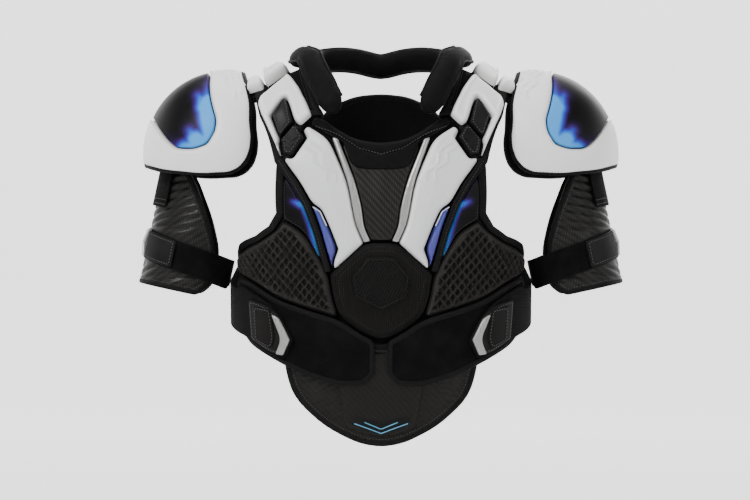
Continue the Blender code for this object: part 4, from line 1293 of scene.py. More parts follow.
class PAD_OT_stage(bpy.types.Operator):
    """Makes the camera, the pale bowl of the studio, which glows brighter towards the back as painted light,
    and its soft lights
    """

    bl_idname = "pads.stage"
    bl_label = "Studio and Camera"

    def execute(self, context):
        stage = context.scene.pad_stage
        data = bpy.data.cameras.new("camera")
        data.lens = stage.lens
        data.sensor_width = 36
        data.clip_end = 30
        camera = bpy.data.objects.new("camera", data)
        camera.location = (CAMERA_ACROSS, -stage.camera_distance, stage.camera_height)
        camera.rotation_euler = (math.radians(90), 0, 0)
        context.scene.collection.objects.link(camera)
        context.scene.camera = camera
        profile = [(0.0, 0.0), (3.0, 0.0), (6.0, 0.0), (BOWL_FLAT, 0.0)]
        for k in range(1, 13):
            bend = math.radians(90 * k / 12)
            profile.append((BOWL_FLAT + BOWL_BEND * math.sin(bend), BOWL_BEND * (1 - math.cos(bend))))
        profile.append((BOWL_FLAT + BOWL_BEND, 9.0))
        turns = 64
        verts, faces = [], []
        for radius, rise in profile:
            for k in range(turns):
                a = 2 * math.pi * k / turns
                verts.append((radius * math.cos(a), radius * math.sin(a), rise + stage.floor_height))
        for i in range(len(profile) - 1):
            for k in range(turns):
                on = (k + 1) % turns
                faces.append((i * turns + k, i * turns + on, (i + 1) * turns + on, (i + 1) * turns + k))
        mesh = bpy.data.meshes.new("studio_bowl")
        mesh.from_pydata(verts, [], faces)
        mesh.shade_smooth()
        mesh.materials.append(finish("studio_floor"))
        bowl = bpy.data.objects.new("studio_bowl", mesh)
        context.scene.collection.objects.link(bowl)
        world = bpy.data.worlds.new("studio_air")
        world.use_nodes = True
        world.node_tree.nodes["Background"].inputs[0].default_value = (1.0, 1.0, 1.0, 1)
        world.node_tree.nodes["Background"].inputs[1].default_value = stage.air
        context.scene.world = world
        for label, place, power, size in (("key_light", (-1.5, -1.8, 1.8), stage.key_power, 0.9),
                ("fill_light", (2.1, -1.9, 0.9), stage.key_power * 0.26, 1.6), ("top_light",
                (0.0, 0.3, 2.0), stage.key_power * 0.5, 1.8), ("rear_light", (0.9, 2.2, 1.2),
                stage.key_power * 0.35, 1.5)):
            data = bpy.data.lights.new(label, "AREA")
            data.energy = power
            data.size = size
            lamp = bpy.data.objects.new(label, data)
            lamp.location = place
            lamp.rotation_euler = (Vector((0, 0, -0.12)) - Vector(place)).to_track_quat("-Z", "Y").to_euler()
            context.scene.collection.objects.link(lamp)
        return {"FINISHED"}


class PAD_OT_liners(PadOperator):
    """Sews the chest, back and shoulder liners and binds their edges"""

    bl_idname = "pads.liners"
    bl_label = "Liners"

    def make(self, sizes):
        seams = []
        front = on_trunk(mirrored(CHEST_LINER), LINER[1])
        behind = on_back(mirrored(BACK_LINER), LINER[1])
        for name, loop, sheet in (("chest_liner", front, trunk_sheet), ("back_liner", behind, back_sheet)):
            piece = panel(name, [loop], sheet, LINER[0], LINER[1] - 0.0002, "knit", step=0.0034,
                bevel=0.003, crown=0.0003, coarse=0.006, inner_finish="lining")
            put(piece, "vest", name, padded=0.6)
            put(binding(name + "_binding", loop, sheet, LINER[0], LINER[1], sizes.binding, "binding_tape"),
                "vest")
            seams.append(seam(loop, sheet, LINER[1] + 0.0005, sizes.binding + 0.0012))
        loop = yoke_outline()
        armhole = on_trunk(ARMHOLE_FRONT, LINER[1])
        for name, side in SIDES:
            roll = binding(f"armhole_roll_{name}", armhole, trunk_sheet, LINER[0], 0.0096, 0.0066,
                "binding_tape", side, step=0.003, proud=0.0016, closed=False)
            put(roll, "vest")
            piece = panel(f"yoke_liner_{name}", [loop], yoke_sheet, YOKE_LINER[0], YOKE_LINER[1], "knit",
                side, step=0.0034, bevel=0.004, coarse=0.006, inner_finish="lining")
            put(piece, "vest", f"yoke_liner_{name}", padded=0.7)
            edge = binding(f"yoke_liner_binding_{name}", loop, yoke_sheet, YOKE_LINER[0],
                YOKE_LINER[1] + 0.0006, sizes.binding + 0.0022, "binding_tape", side, proud=0.0018)
            put(edge, "vest")
            seams.append(seam(loop, yoke_sheet, YOKE_LINER[1] + 0.0012, sizes.binding + 0.0036, side))
        sewn("liner_seams", "vest", seams)


def yoke_outline():
    front = on_yoke(YOKE_FRONT, YOKE_LINER[1])
    return np.concatenate([front, yoke_degrees(YOKE_INNER), yoke_degrees(YOKE_BACK)])


class PAD_OT_sternum(PadOperator):
    """Makes the neck trim, the woven breastbone plate and its silver edges"""

    bl_idname = "pads.sternum"
    bl_label = "Neck Trim and Breastbone Plate"

    def make(self, sizes):
        loop = on_trunk(mirrored(NECK_TRIM), PANEL_TOP)
        trim = panel("neck_trim", [loop], trunk_sheet, TILE_BASE, PANEL_TOP, "neoprene", bevel=0.0040,
            crown=0.0008)
        put(trim, "vest", "neck_trim", padded=0.7)
        put(binding("neck_trim_piping", loop, trunk_sheet, TILE_BASE, PANEL_TOP - 0.0022, 0.0030,
            "binding_tape", proud=0.0008), "vest")
        lower = on_trunk([(70, -9), (56, -14), (46, -18.5), (24, -33), (0, -39.5), (-24, -33), (-46, -18.5),
            (-56, -14), (-70, -9)], PANEL_TOP)
        sewn("neck_trim_seams", "vest", [laid(lower, trunk_sheet, PANEL_TOP + 0.0008)], "grey_thread")
        plate = on_trunk(mirrored(STERNUM_PLATE), PLATE_TOP)
        body = panel("sternum_plate", [plate], trunk_sheet, TILE_BASE, PLATE_TOP, "carbon_weave",
            bevel=0.0014, crown=0.0006, corner=0.003, relief=self.spine)
        put(body, "vest", "sternum_plate")
        hood = on_trunk(mirrored(PLATE_HOOD), PLATE_TOP)
        put(panel("plate_hood", [hood], trunk_sheet, PLATE_TOP - 0.0006, PLATE_TOP + 0.0026, "neoprene",
            step=0.0018, bevel=0.0012, corner=0.003), "vest")
        for name, side in SIDES:
            trim = panel(f"sternum_trim_{name}", [on_trunk(STERNUM_TRIM, TRIM_TOP)], trunk_sheet, TILE_BASE,
                TRIM_TOP, "silver_film", side, step=0.0014, bevel=0.0010, corner=0.0015, gap=-0.0009,
                relief=self.ridge)
            put(trim, "vest", f"sternum_trim_{name}")

    @staticmethod
    def ridge(points, edge):
        """The silver edge rises to a ridge, with a step half way down it."""
        rise = 0.0014 * np.clip(edge / 0.0022, 0, 1)
        return rise * (0.45 + 0.55 * eased((points[:, 1] + 0.082) / 0.004))

    @staticmethod
    def spine(points, edge):
        return 0.0012 * np.clip(1 - np.abs(points[:, 0]) / 0.013, 0, 1) * np.clip(edge / 0.01, 0, 1)


class PAD_OT_arches(PadOperator):
    """Moulds the white chest arches with their facets, chevrons and black borders"""

    bl_idname = "pads.arches"
    bl_label = "Chest Arches"

    def make(self, sizes):
        loop = on_trunk(CHEST_ARCH, ARCH_TOP)
        chevrons = [on_trunk(line, ARCH_TOP) for line in ARCH_CHEVRONS]
        crease = on_trunk([(58, -20), (60, -66), (44, -118), (33, -140)], ARCH_TOP)
        lip = on_trunk([(70, -6), (57, -20), (36, -66), (27.4, -116), (18.6, -135.6)], ARCH_TOP)
        seams = []
        for name, side in SIDES:
            arch = panel(f"chest_arch_{name}", [loop], trunk_sheet, TILE_BASE, ARCH_TOP - 0.0012,
                "white_leather", side, step=0.0017, bevel=0.0042, corner=0.0035, crown=0.0012,
                relief=added(ridges(chevrons, 0.0017, 0.0010), self.shoulder(crease), self.chamfer(lip)))
            # painted shade: the main face is marked to be painted grey, the chamfer along the inner lip stays
            # bright
            away = distance_to(pattern_of(arch), lip, closed=False)
            set_mark(arch, 0.75 * eased((away - 0.0042) / 0.0012))
            put(arch, "vest", f"chest_arch_{name}", padded=0.95)
            border = on_trunk(ARCH_BORDER, 0.0148)
            put(binding(f"arch_border_{name}", border, trunk_sheet, TILE_BASE, 0.0136, 0.0056,
                "binding_tape", side, step=0.002, proud=0.0012, closed=False), "vest")
            inner = on_trunk([(110.4, -47), (94.6, -71), (81.4, -94.5), (70.6, -123), (63.6, -148)], 0.0148)
            seams.append(laid(inner, trunk_sheet, 0.0152, side))
            accent = panel(f"arch_accent_{name}", [on_trunk(ARCH_ACCENT, ARCH_TOP - 0.001)], trunk_sheet,
                TILE_BASE, ARCH_TOP - 0.0014, "violet_film", side, step=0.002, bevel=0.003, corner=0.0015)
            level = pattern_of(accent)[:, 1]
            set_mark(accent, np.clip((level - level.min()) / np.ptp(level), 0, 1))
            put(accent, "vest", f"arch_accent_{name}")
            stripe = on_trunk([(74, -96.5), (66.2, -101.4), (59.0, -117)], ARCH_TOP)
            line = grown(f"accent_stripe_{name}", None, "rib", [laid(stripe, trunk_sheet, ARCH_TOP - 0.0012,
                side)], "white_leather", Radius=0.0005, Spacing=0.0015)
            put(line, "vest")
        sewn("arch_border_seams", "vest", seams)

    @staticmethod
    def chamfer(lip):
        """The face slopes down to its inner edge."""

        def relief(points, edge):
            return -0.0024 * np.clip(1 - distance_to(points, lip, closed=False) / 0.0052, 0, 1)

        return relief

    @staticmethod
    def shoulder(crease):
        """The inner facet falls away from a crease that runs down the arch."""
        inner = crease[:, 0]
        order = np.argsort(crease[:, 1])

        def relief(points, edge):
            x = np.interp(points[:, 1], crease[order, 1], inner[order])
            return 0.0018 * np.clip(1 - np.abs(points[:, 0] - x) / 0.014, 0, 1) * np.clip(edge / 0.006, 0, 1)

        return relief


class PAD_OT_chest_films(PadOperator):
    """Lays the printed films beside the arches"""

    bl_idname = "pads.chest_films"
    bl_label = "Chest Films"

    def make(self, sizes):
        loop = on_trunk(GRAPHIC_PANEL, PANEL_TOP)
        for name, side in SIDES:
            film = panel(f"graphic_panel_{name}", [loop], trunk_sheet, TILE_BASE, PANEL_TOP, "flame_film",
                side, step=0.0012, bevel=0.0022, corner=0.003, crown=0.0005)
            flames(film, CHEST_FLAMES, 7.5)
            put(film, "vest", f"graphic_panel_{name}")
        sewn("chest_film_seams", "vest", [seam(loop, trunk_sheet, PANEL_TOP + 0.0003, 0.0024, side) for _,
            side in SIDES])


class PAD_OT_mesh_pads(PadOperator):
    """Makes the open mesh pads of the ribs with their lozenge openings"""

    bl_idname = "pads.mesh_pads"
    bl_label = "Mesh Pads"

    def make(self, sizes):
        loop = on_trunk(MESH_PAD, MESH_TOP)

        def relief(points, edge):
            return -0.0026 * openings(points) * eased((edge - 0.0045) / 0.002)

        for name, side in SIDES:
            pad = panel(f"mesh_pad_{name}", [loop], trunk_sheet, TILE_BASE, MESH_TOP - 0.0002,
                "spacer_mesh", side, step=0.00125, bevel=0.0045, corner=0.004, relief=relief)
            points, edge = pattern_of(pad), edge_of(pad)
            # marks the openings, which the finish paints near black as painted shade
            set_mark(pad, openings(points) * eased((edge - 0.0045) / 0.002))
            put(pad, "vest", f"mesh_pad_{name}", padded=0.8)
            put(binding(f"mesh_pad_binding_{name}", loop, trunk_sheet, TILE_BASE, MESH_TOP - 0.0032, 0.0036,
                "binding_tape", side, proud=0.0009), "vest")


class PAD_OT_shield(PadOperator):
    """Moulds the shield over the join of the arches and its ribbed badge"""

    bl_idname = "pads.shield"
    bl_label = "Shield"

    def make(self, sizes):
        loop = on_trunk(mirrored(SHIELD), SHIELD_TOP)
        shield = panel("sternum_shield", [loop], trunk_sheet, TILE_BASE, SHIELD_TOP - 0.0022,
            "ribbed_black", step=0.0019, bevel=0.0030, corner=0.004,
            relief=added(facet(0.012, 0.0016), facet(0.020, 0.0006)))
        set_mark(shield, pattern_of(shield)[:, 0] / sizes.rib_pitch)
        put(shield, "vest", "sternum_shield", padded=0.95)
        put(binding("shield_binding", loop, trunk_sheet, TILE_BASE, SHIELD_TOP - 0.0036, 0.0072,
            "binding_tape", proud=0.0014), "vest")
        badge_loop = on_trunk(mirrored(BADGE_OUTLINE), BADGE_TOP)
        badge = panel("shield_badge", [badge_loop], trunk_sheet, 0.0165, BADGE_TOP - 0.0006, "ribbed_black",
            step=0.0014, bevel=0.0016, corner=0.003, crown=0.0004)
        points = pattern_of(badge)
        set_mark(badge, (points[:, 0] - 0.55 * points[:, 1]) / (0.8 * sizes.rib_pitch))
        put(badge, "vest", "shield_badge")
        ring = seam(badge_loop, trunk_sheet, BADGE_TOP - 0.0006, 0.0022)
        grown("badge_rim", "vest", "rib", [ring], "moulded_rubber", Radius=0.0009, Spacing=0.0018)
        slants = []
        low, high = badge_loop.min(axis=0), badge_loop.max(axis=0)
        inner = drawn_in(badge_loop, 0.0036)
        for x in np.arange(low[0] - 0.04, high[0] + 0.04, 0.0034):
            line = [(x, low[1]), (x + 0.55 * (high[1] - low[1]), high[1])]
            slants += [laid(run, trunk_sheet, BADGE_TOP - 0.0003) for run in clipped(line, inner, 0.0)]
        grown("badge_ribs", "vest", "rib", slants, "moulded_rubber", Radius=0.00045, Spacing=0.0022)
        sewn("shield_seams", "vest", [seam(loop, trunk_sheet, SHIELD_TOP - 0.0016, 0.0068)])


class PAD_OT_clavicles(PadOperator):
    """Moulds the collarbone plates, their stitched hinge diamonds and the links below them"""

    bl_idname = "pads.clavicles"
    bl_label = "Collarbone Plates"

    def make(self, sizes):
        plate_loop = on_yoke(CLAVICLE_PLATE, CLAVICLE_TOP)
        hinge_loop = on_yoke(CLAVICLE_HINGE, CLAVICLE_TOP - 0.001)
        link_loop = on_trunk(HINGE_LINK, LINK_PIECE_TOP)
        chevrons = [on_trunk(line, LINK_PIECE_TOP) for line in ([(90.5, -19), (97, -23.5), (104.5, -18.5)],
            [(90, -24), (97, -29), (105.5, -23)], [(93, -30), (98, -33.5), (105, -28.5)])]
        link_seams = []
        for name, side in SIDES:
            body = f"clavicle_flap_{name}"
            plate = panel(f"clavicle_plate_{name}", [plate_loop], yoke_sheet, YOKE_TILE_BASE,
                CLAVICLE_TOP - 0.0022, "white_leather", side, step=0.0016, bevel=0.0036, corner=0.0030,
                relief=added(facet(0.0042, 0.0020), lambda points,
                edge: -0.0013 * eased((edge - 0.0052) / 0.0010)))
            # painted shade: the field inside the bevelled margin is marked to be painted grey, the margin
            # stays bright
            set_mark(plate, 0.55 * eased((edge_of(plate) - 0.0050) / 0.0012))
            put(plate, body, f"clavicle_plate_{name}", padded=0.95)
            hinge = panel(f"clavicle_hinge_{name}", [hinge_loop], yoke_sheet, YOKE_TILE_BASE,
                CLAVICLE_TOP - 0.0026, "moulded_rubber", side, step=0.0014, bevel=0.0016, corner=0.0015,
                relief=facet(0.006, 0.0008))
            put(hinge, body, f"clavicle_hinge_{name}")
            sewn(f"clavicle_seams_{name}", body, [seam(hinge_loop, yoke_sheet, CLAVICLE_TOP - 0.0019,
                0.0026, side, 0.0015)], "grey_thread")
            link = panel(f"hinge_link_{name}", [link_loop], trunk_sheet, YOKE_TILE_BASE,
                LINK_PIECE_TOP - 0.0014, "moulded_rubber", side, step=0.0012, bevel=0.0018, corner=0.0018,
                relief=added(facet(0.005, 0.0007), ridges(chevrons, 0.0008, 0.0009)))
            put(link, "vest", f"hinge_link_{name}")
            link_seams.append(seam(link_loop, trunk_sheet, LINK_PIECE_TOP - 0.0008, 0.0024, side, 0.0018))
        sewn("hinge_link_seams", "vest", link_seams, "grey_thread")


class PAD_OT_collar(PadOperator):
    """Blows up the padded roll round the neck and runs piping along it"""

    bl_idname = "pads.collar"
    bl_label = "Collar"

    def make(self, sizes):
        half = np.array(COLLAR_PLAN, float)
        whole = np.concatenate([half, (half * (-1, 1))[::-1][1:]])
        plan = through(whole, 97) * MM
        low = np.stack([plan[:, 0], plan[:, 1], np.full(len(plan), -0.05)], axis=1)
        seat = cast(low, np.tile([0.0, 0.0, 1.0], (len(plan), 1)), reach=0.16)
        normal = trunk_normal(seat)
        path = seat + normal * COLLAR_LIFT
        turns = np.linspace(0, 2 * math.pi, 20, endpoint=False)
        rings = []
        last = len(path) - 1
        for k, point in enumerate(path):
            along = path[min(k + 1, last)] - path[max(k - 1, 0)]
            along /= np.linalg.norm(along)
            across = np.cross(along, normal[k])
            across /= np.linalg.norm(across)
            up = np.cross(across, along)
            end = min(k, last - k) / 5
            share = 0.94 * math.sqrt(1 - (1 - min(end, 1)) ** 2 * 0.85)
            wide, thick = COLLAR_WIDE * share, COLLAR_THICK * share
            ring = [point + across * wide * math.copysign(abs(math.cos(a)) ** 0.8, math.cos(a))
                    + up * thick * math.copysign(abs(math.sin(a)) ** 0.8, math.sin(a)) for a in turns]
            rings.append(ring)
        roll = swept("neck_collar", rings, "neoprene", closed=False)
        inflate(roll, voxel=0.0045, cap=0.0022)
        put(roll, "vest", "neck_collar", padded=0.85)
        across = np.cross(np.gradient(path, axis=0), normal)
        across /= np.linalg.norm(across, axis=1, keepdims=True)
        rows = []
        for offset in (0.0131, -0.0131):
            rows.append(path[4:-4] + across[4:-4] * offset + normal[4:-4] * 0.0028)
        grown("collar_piping", "vest", "rib", rows, "binding_tape", Radius=0.0016, Spacing=0.003)


def through(points, count):
    """Evenly spaced points on a smooth curve through the given ones."""
    points = np.array(points, float)
    ends = np.concatenate([[2 * points[0] - points[1]], points, [2 * points[-1] - points[-2]]])
    rows = []
    for k in np.linspace(0, len(points) - 1 - 1e-9, count):
        i, t = int(k), k - int(k)
        a, b, c, d = ends[i : i + 4]
        squared, cubed = (2 * a - 5 * b + 4 * c - d) * t**2, (3 * b - a - 3 * c + d) * t**3
        rows.append(0.5 * (2 * b + (c - a) * t + squared + cubed))
    return np.array(rows)


def inflate(obj, voxel, cap, pressure=4.0):
    """Fills a soft piece by a short cloth simulation, with no point moving further than the cap."""
    scene = bpy.context.scene
    for other in bpy.context.selected_objects:
        other.select_set(False)
    bpy.context.view_layer.objects.active = obj
    obj.select_set(True)
    remesh = obj.modifiers.new("remesh", "REMESH")
    remesh.mode = "VOXEL"
    remesh.voxel_size = voxel
    remesh.use_smooth_shade = True
    bpy.ops.object.modifier_apply(modifier=remesh.name)
    rest = np.array([v.co for v in obj.data.vertices])
    cloth = obj.modifiers.new("cloth", "CLOTH")
    cloth.settings.quality = 5
    cloth.settings.use_pressure = True
    cloth.settings.uniform_pressure_force = pressure
    cloth.settings.effector_weights.gravity = 0
    cloth.point_cache.frame_start = 1
    cloth.point_cache.frame_end = 20
    for moment in range(1, 21):
        scene.frame_set(moment)
    found = bpy.context.evaluated_depsgraph_get()
    swollen = obj.evaluated_get(found).data
    moved = np.array([v.co for v in swollen.vertices]) - rest
    reach = np.linalg.norm(moved, axis=1, keepdims=True)
    moved *= np.minimum(1, cap / np.maximum(reach, 1e-9))
    obj.modifiers.remove(cloth)
    obj.data.vertices.foreach_set("co", (rest + moved).ravel())
    obj.data.update()
    scene.frame_set(1)
    divide = obj.modifiers.new("subdivision", "SUBSURF")
    divide.levels = divide.render_levels = 1
    bpy.ops.object.modifier_apply(modifier=divide.name)
    obj.data.shade_smooth()
    obj.select_set(False)


class PAD_OT_back(PadOperator):
    """Makes the shoulder blade plates, lumbar pads and spine guard"""

    bl_idname = "pads.back"
    bl_label = "Back"

    def make(self, sizes):
        blade = on_back(SCAPULA_PLATE, ARCH_TOP)
        blade_lines = [on_back(line, ARCH_TOP) for line in ([(36, 2), (52, -14), (52, -40), (72, -60),
            (72, -88)], [(30, -16), (42, -28), (42, -54), (60, -72), (60, -98)])]
        lumbar = on_back(LUMBAR_PAD, MESH_TOP)

        def holes(points, edge):
            return -0.0026 * openings(points) * eased((edge - 0.0055) / 0.002)

        seams = []
        for name, side in SIDES:
            plate = panel(f"scapula_plate_{name}", [blade], back_sheet, TILE_BASE, ARCH_TOP - 0.0022,
                "white_leather", side, step=0.0021, bevel=0.0045, corner=0.005,
                relief=added(facet(0.010, 0.0015), ridges(blade_lines, 0.0009, 0.0012)))
            put(plate, "vest", f"scapula_plate_{name}", padded=0.95)
            put(binding(f"scapula_binding_{name}", blade, back_sheet, TILE_BASE, ARCH_TOP - 0.0052, 0.0034,
                "binding_tape", side, proud=0.0010), "vest")
            pad = panel(f"lumbar_pad_{name}", [lumbar], back_sheet, TILE_BASE, MESH_TOP - 0.0002,
                "spacer_mesh", side, step=0.0014, bevel=0.0050, corner=0.006, relief=holes)
            points, edge = pattern_of(pad), edge_of(pad)
            # marks the openings, which the finish paints near black as painted shade
            set_mark(pad, openings(points) * eased((edge - 0.0055) / 0.002))
            put(pad, "vest", f"lumbar_pad_{name}", padded=0.8)
            put(binding(f"lumbar_binding_{name}", lumbar, back_sheet, TILE_BASE, MESH_TOP - 0.0036, 0.0040,
                "binding_tape", side, proud=0.0009), "vest")
            seams.append(seam(blade, back_sheet, ARCH_TOP - 0.0004, 0.0105, side, 0.005))
        sewn("back_seams", "vest", seams, "grey_thread")
        spine = on_back(mirrored(SPINE_GUARD), PLATE_TOP)

        def face(points):
            spot, normal = back_sheet(points)
            return np.maximum((SPINE_FACE - spot[:, 1]) / np.maximum(normal[:, 1], 0.5), TILE_BASE + 0.003)

        def steps(points, edge):
            groove = (points[:, 1] / 0.0245) % 1.0
            return -0.0016 * np.exp(-(((groove - 0.5) / 0.07) ** 2)) * np.clip(edge / 0.003, 0, 1)

        guard = panel("spine_guard", [spine], back_sheet, TILE_BASE, lambda p: face(p) - 0.0002,
            "carbon_weave", step=0.0018, bevel=0.003, corner=0.004, relief=steps)
        put(guard, "vest", "spine_guard")


class PAD_OT_shoulder_arches(PadOperator):
    """Moulds the white arches over the shoulders and the links towards the caps"""

    bl_idname = "pads.shoulder_arches"
    bl_label = "Shoulder Arches"

    def make(self, sizes):
        seams = []
        for label, outline, top, crown in (("shoulder_arch", SHOULDER_ARCH, SHOULDER_ARCH_TOP, 0.0012),
                ("arch_link", ARCH_LINK, LINK_TOP, 0.0008)):
            loop = yoke_degrees(outline)
            for name, side in SIDES:
                piece = panel(f"{label}_{name}", [loop], yoke_sheet, YOKE_TILE_BASE, top - crown,
                    "white_leather", side, step=0.0018, bevel=0.0048, corner=0.004, crown=crown, gap=0.0006)
                put(piece, "vest", f"{label}_{name}", padded=0.95)
                put(binding(f"{label}_piping_{name}", loop, yoke_sheet, YOKE_TILE_BASE,
                    YOKE_TILE_BASE + 0.0012, 0.0016, "binding_tape", side, proud=0.0008), "vest")
                if label == "shoulder_arch":
                    seams.append(seam(loop, yoke_sheet, top + 0.0001, 0.0066, side))
        sewn("shoulder_arch_seams", "vest", seams, "pale_thread")


class PAD_OT_caps(PadOperator):
    """Moulds the shoulder caps: shell, printed film in its window, foam and rim tape"""

    bl_idname = "pads.caps"
    bl_label = "Shoulder Caps"

    def make(self, sizes):
        rim = on_cap(CAP_RIM, CAP_WALL)
        window = on_cap(CAP_GRAPHIC, CAP_WALL)
        foam = on_cap(CAP_FOAM_RIM, 0.0)
        chevrons = [on_cap(line, CAP_WALL, closed=False) * (1, way) for line in CAP_CHEVRONS
            for way in (1, -1)]
        for name, side in SIDES:
            body = f"shoulder_cap_{name}"
            shell = panel(f"cap_shell_{name}", [rim, window], cap_sheet, 0.0, CAP_WALL, "white_leather",
                side, step=0.0022, bevel=0.0030, corner=0.018,
                relief=added(ridges(chevrons, 0.0019, 0.0011), self.swell(window)), inner_finish="lining")
            put(shell, body, f"cap_shell_{name}", padded=0.95)
            film = panel(f"cap_graphic_{name}", [window], cap_sheet, 0.0, CAP_WALL - 0.0002, "flame_film",
                side, step=0.0016, bevel=0.0016, corner=0.018, gap=0.0007)
            flames(film, CAP_FLAMES, 13.5)
            put(film, body, f"cap_graphic_{name}")
            pad = panel(f"cap_foam_{name}", [foam], cap_sheet, -CAP_FOAM - FOAM_GAP, -FOAM_GAP, "lining",
                side, step=0.004, bevel=0.004)
            put(pad, body, f"cap_foam_{name}", padded=0.6)
            tape = binding(f"cap_rim_tape_{name}", rim, cap_sheet, 0.0, CAP_WALL - 0.0010,
                sizes.cap_binding, "binding_tape", side, step=0.0026, proud=0.0020, corner=0.018)
            put(tape, body)
            sewn(f"cap_seams_{name}", body, [seam(window, cap_sheet, CAP_WALL + 0.0012, -0.0022, side,
                0.018)], "pale_thread")
            sewn(f"cap_rim_seams_{name}", body, [seam(rim, cap_sheet, CAP_WALL + 0.0010,
                sizes.cap_binding * 0.55, side, 0.018)])
            self.bridge(name, side)

    @staticmethod
    def swell(window):
        """The shell stands up a little round its window."""

        def relief(points, edge):
            away = distance_to(points, window)
            return 0.0016 * eased(away / 0.004) * np.clip(edge / 0.006, 0, 1)

        return relief

    @staticmethod
    def bridge(name, side):
        """Cloth from the yoke to the underside of the cap, sagging a little between them."""
        turns = np.linspace(50, 130, 25)
        inner, normal = yoke_sheet(yoke_degrees([(130, a) for a in turns]))
        inner = inner + normal * 0.0100
        outer = []
        for a in turns:
            share = (a - 90) / 40
            outer.append((CAP_HINGE[0] + 0.0105, 0.002 + 0.034 * share,
                CAP_HINGE[2] - 0.0175 - 0.010 * share**2))
        outer = np.array(outer)
        rows = []
        for t in np.linspace(0, 1, 15):
            row = inner * (1 - t) + outer * t
            row[:, 2] -= 0.0030 * math.sin(math.pi * t)
            rows.append(row)
        cloth = slab(f"cap_bridge_{name}", rows, 0.0012, "elastic_webbing", side)
        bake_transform(cloth)


def band(start, end, width, steps=3):
    """A strap pattern between two (angle, drop) ends, width millimetres wide."""
    rows = [(start[0] + (end[0] - start[0]) * k / steps, start[1] + (end[1] - start[1]) * k / steps)
        for k in range(steps + 1)]
    upper = [(a, h - width / 2) for a, h in rows]
    lower = [(a, h + width / 2) for a, h in rows]
    return upper + lower[::-1]


class PAD_OT_arm_guards(PadOperator):
    """Makes the ribbed upper arm guards, their elastics and the hangers from the caps"""

    bl_idname = "pads.arm_guards"
    bl_label = "Arm Guards"

    def make(self, sizes):
        loop = arm_degrees(GUARD)

        def ribs(points, edge):
            drop, turn = points[:, 1] / MM, np.abs(points[:, 0]) / MM
            wave = 0.5 + 0.5 * np.cos(2 * math.pi * (drop + 0.42 * turn) / 9.5)
            above = 1 - eased((drop - 84) / 8)
            below = eased((drop - 128) / 6)
            groove = -0.0024 * (1 - wave) ** 2.0 * np.maximum(above, 0.8 * below)
            return groove * np.clip((edge - 0.004) / 0.005, 0, 1)

        for name, side in SIDES:
            body = f"arm_guard_{name}"
            guard = panel(f"bicep_guard_{name}", [loop], arm_sheet, 0.0, GUARD_WALL - 0.0001, "carbon_dark",
                side, step=0.0021, bevel=0.0028, corner=0.008, relief=ribs, inner_finish="lining")
            put(guard, body, f"bicep_guard_{name}", padded=0.9)
            put(binding(f"bicep_guard_binding_{name}", loop, arm_sheet, 0.0, GUARD_WALL - 0.0006, 0.0044,
                "binding_tape", side, proud=0.0010, corner=0.008), body)
            sewn(f"bicep_guard_seams_{name}", body, [seam(loop, arm_sheet, GUARD_WALL + 0.0001, 0.0062,
                side, 0.008)])
            stretch = arm_degrees(band((116, ELASTIC_MIDDLE), (244, ELASTIC_MIDDLE), ELASTIC_WIDTH / MM, 4))
            elastic = panel(f"bicep_elastic_{name}", [stretch], arm_sheet, -0.0012, 0.0008,
                "elastic_webbing", side, step=0.0026, bevel=0.0008, corner=0.001, start=0.6)
            put(elastic, body, f"bicep_elastic_{name}")
            hanger = arm_degrees([(HANGER_SPAN[0], -2), (HANGER_SPAN[1], 6),
                (HANGER_SPAN[1], HANGER_DROP[1]), (HANGER_SPAN[0], HANGER_DROP[1])])
            strap = panel(f"hanger_strap_{name}", [hanger], arm_sheet, self.tuck,
                lambda p: self.tuck(p) + STRAP_WALL, "elastic_webbing", side, step=0.0024, bevel=0.0008,
                corner=0.002, start=0.6)
            settle([f"hanger_strap_{name}"])
            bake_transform(strap)
            sewn(f"hanger_seams_{name}", body, [laid(arm_degrees([(HANGER_SPAN[0] + 3, d),
                (HANGER_SPAN[1] - 3, d)]), arm_sheet, STRAP_LOW + STRAP_WALL + 0.0002, side)
                for d in (57, 62)], "grey_thread")

    @staticmethod
    def tuck(points):
        """The hanger lies on the guard below and tucks in under the cap above."""
        drop = points[:, 1] / MM
        return STRAP_LOW - 0.004 * (1 - eased((drop - 2) / 26))


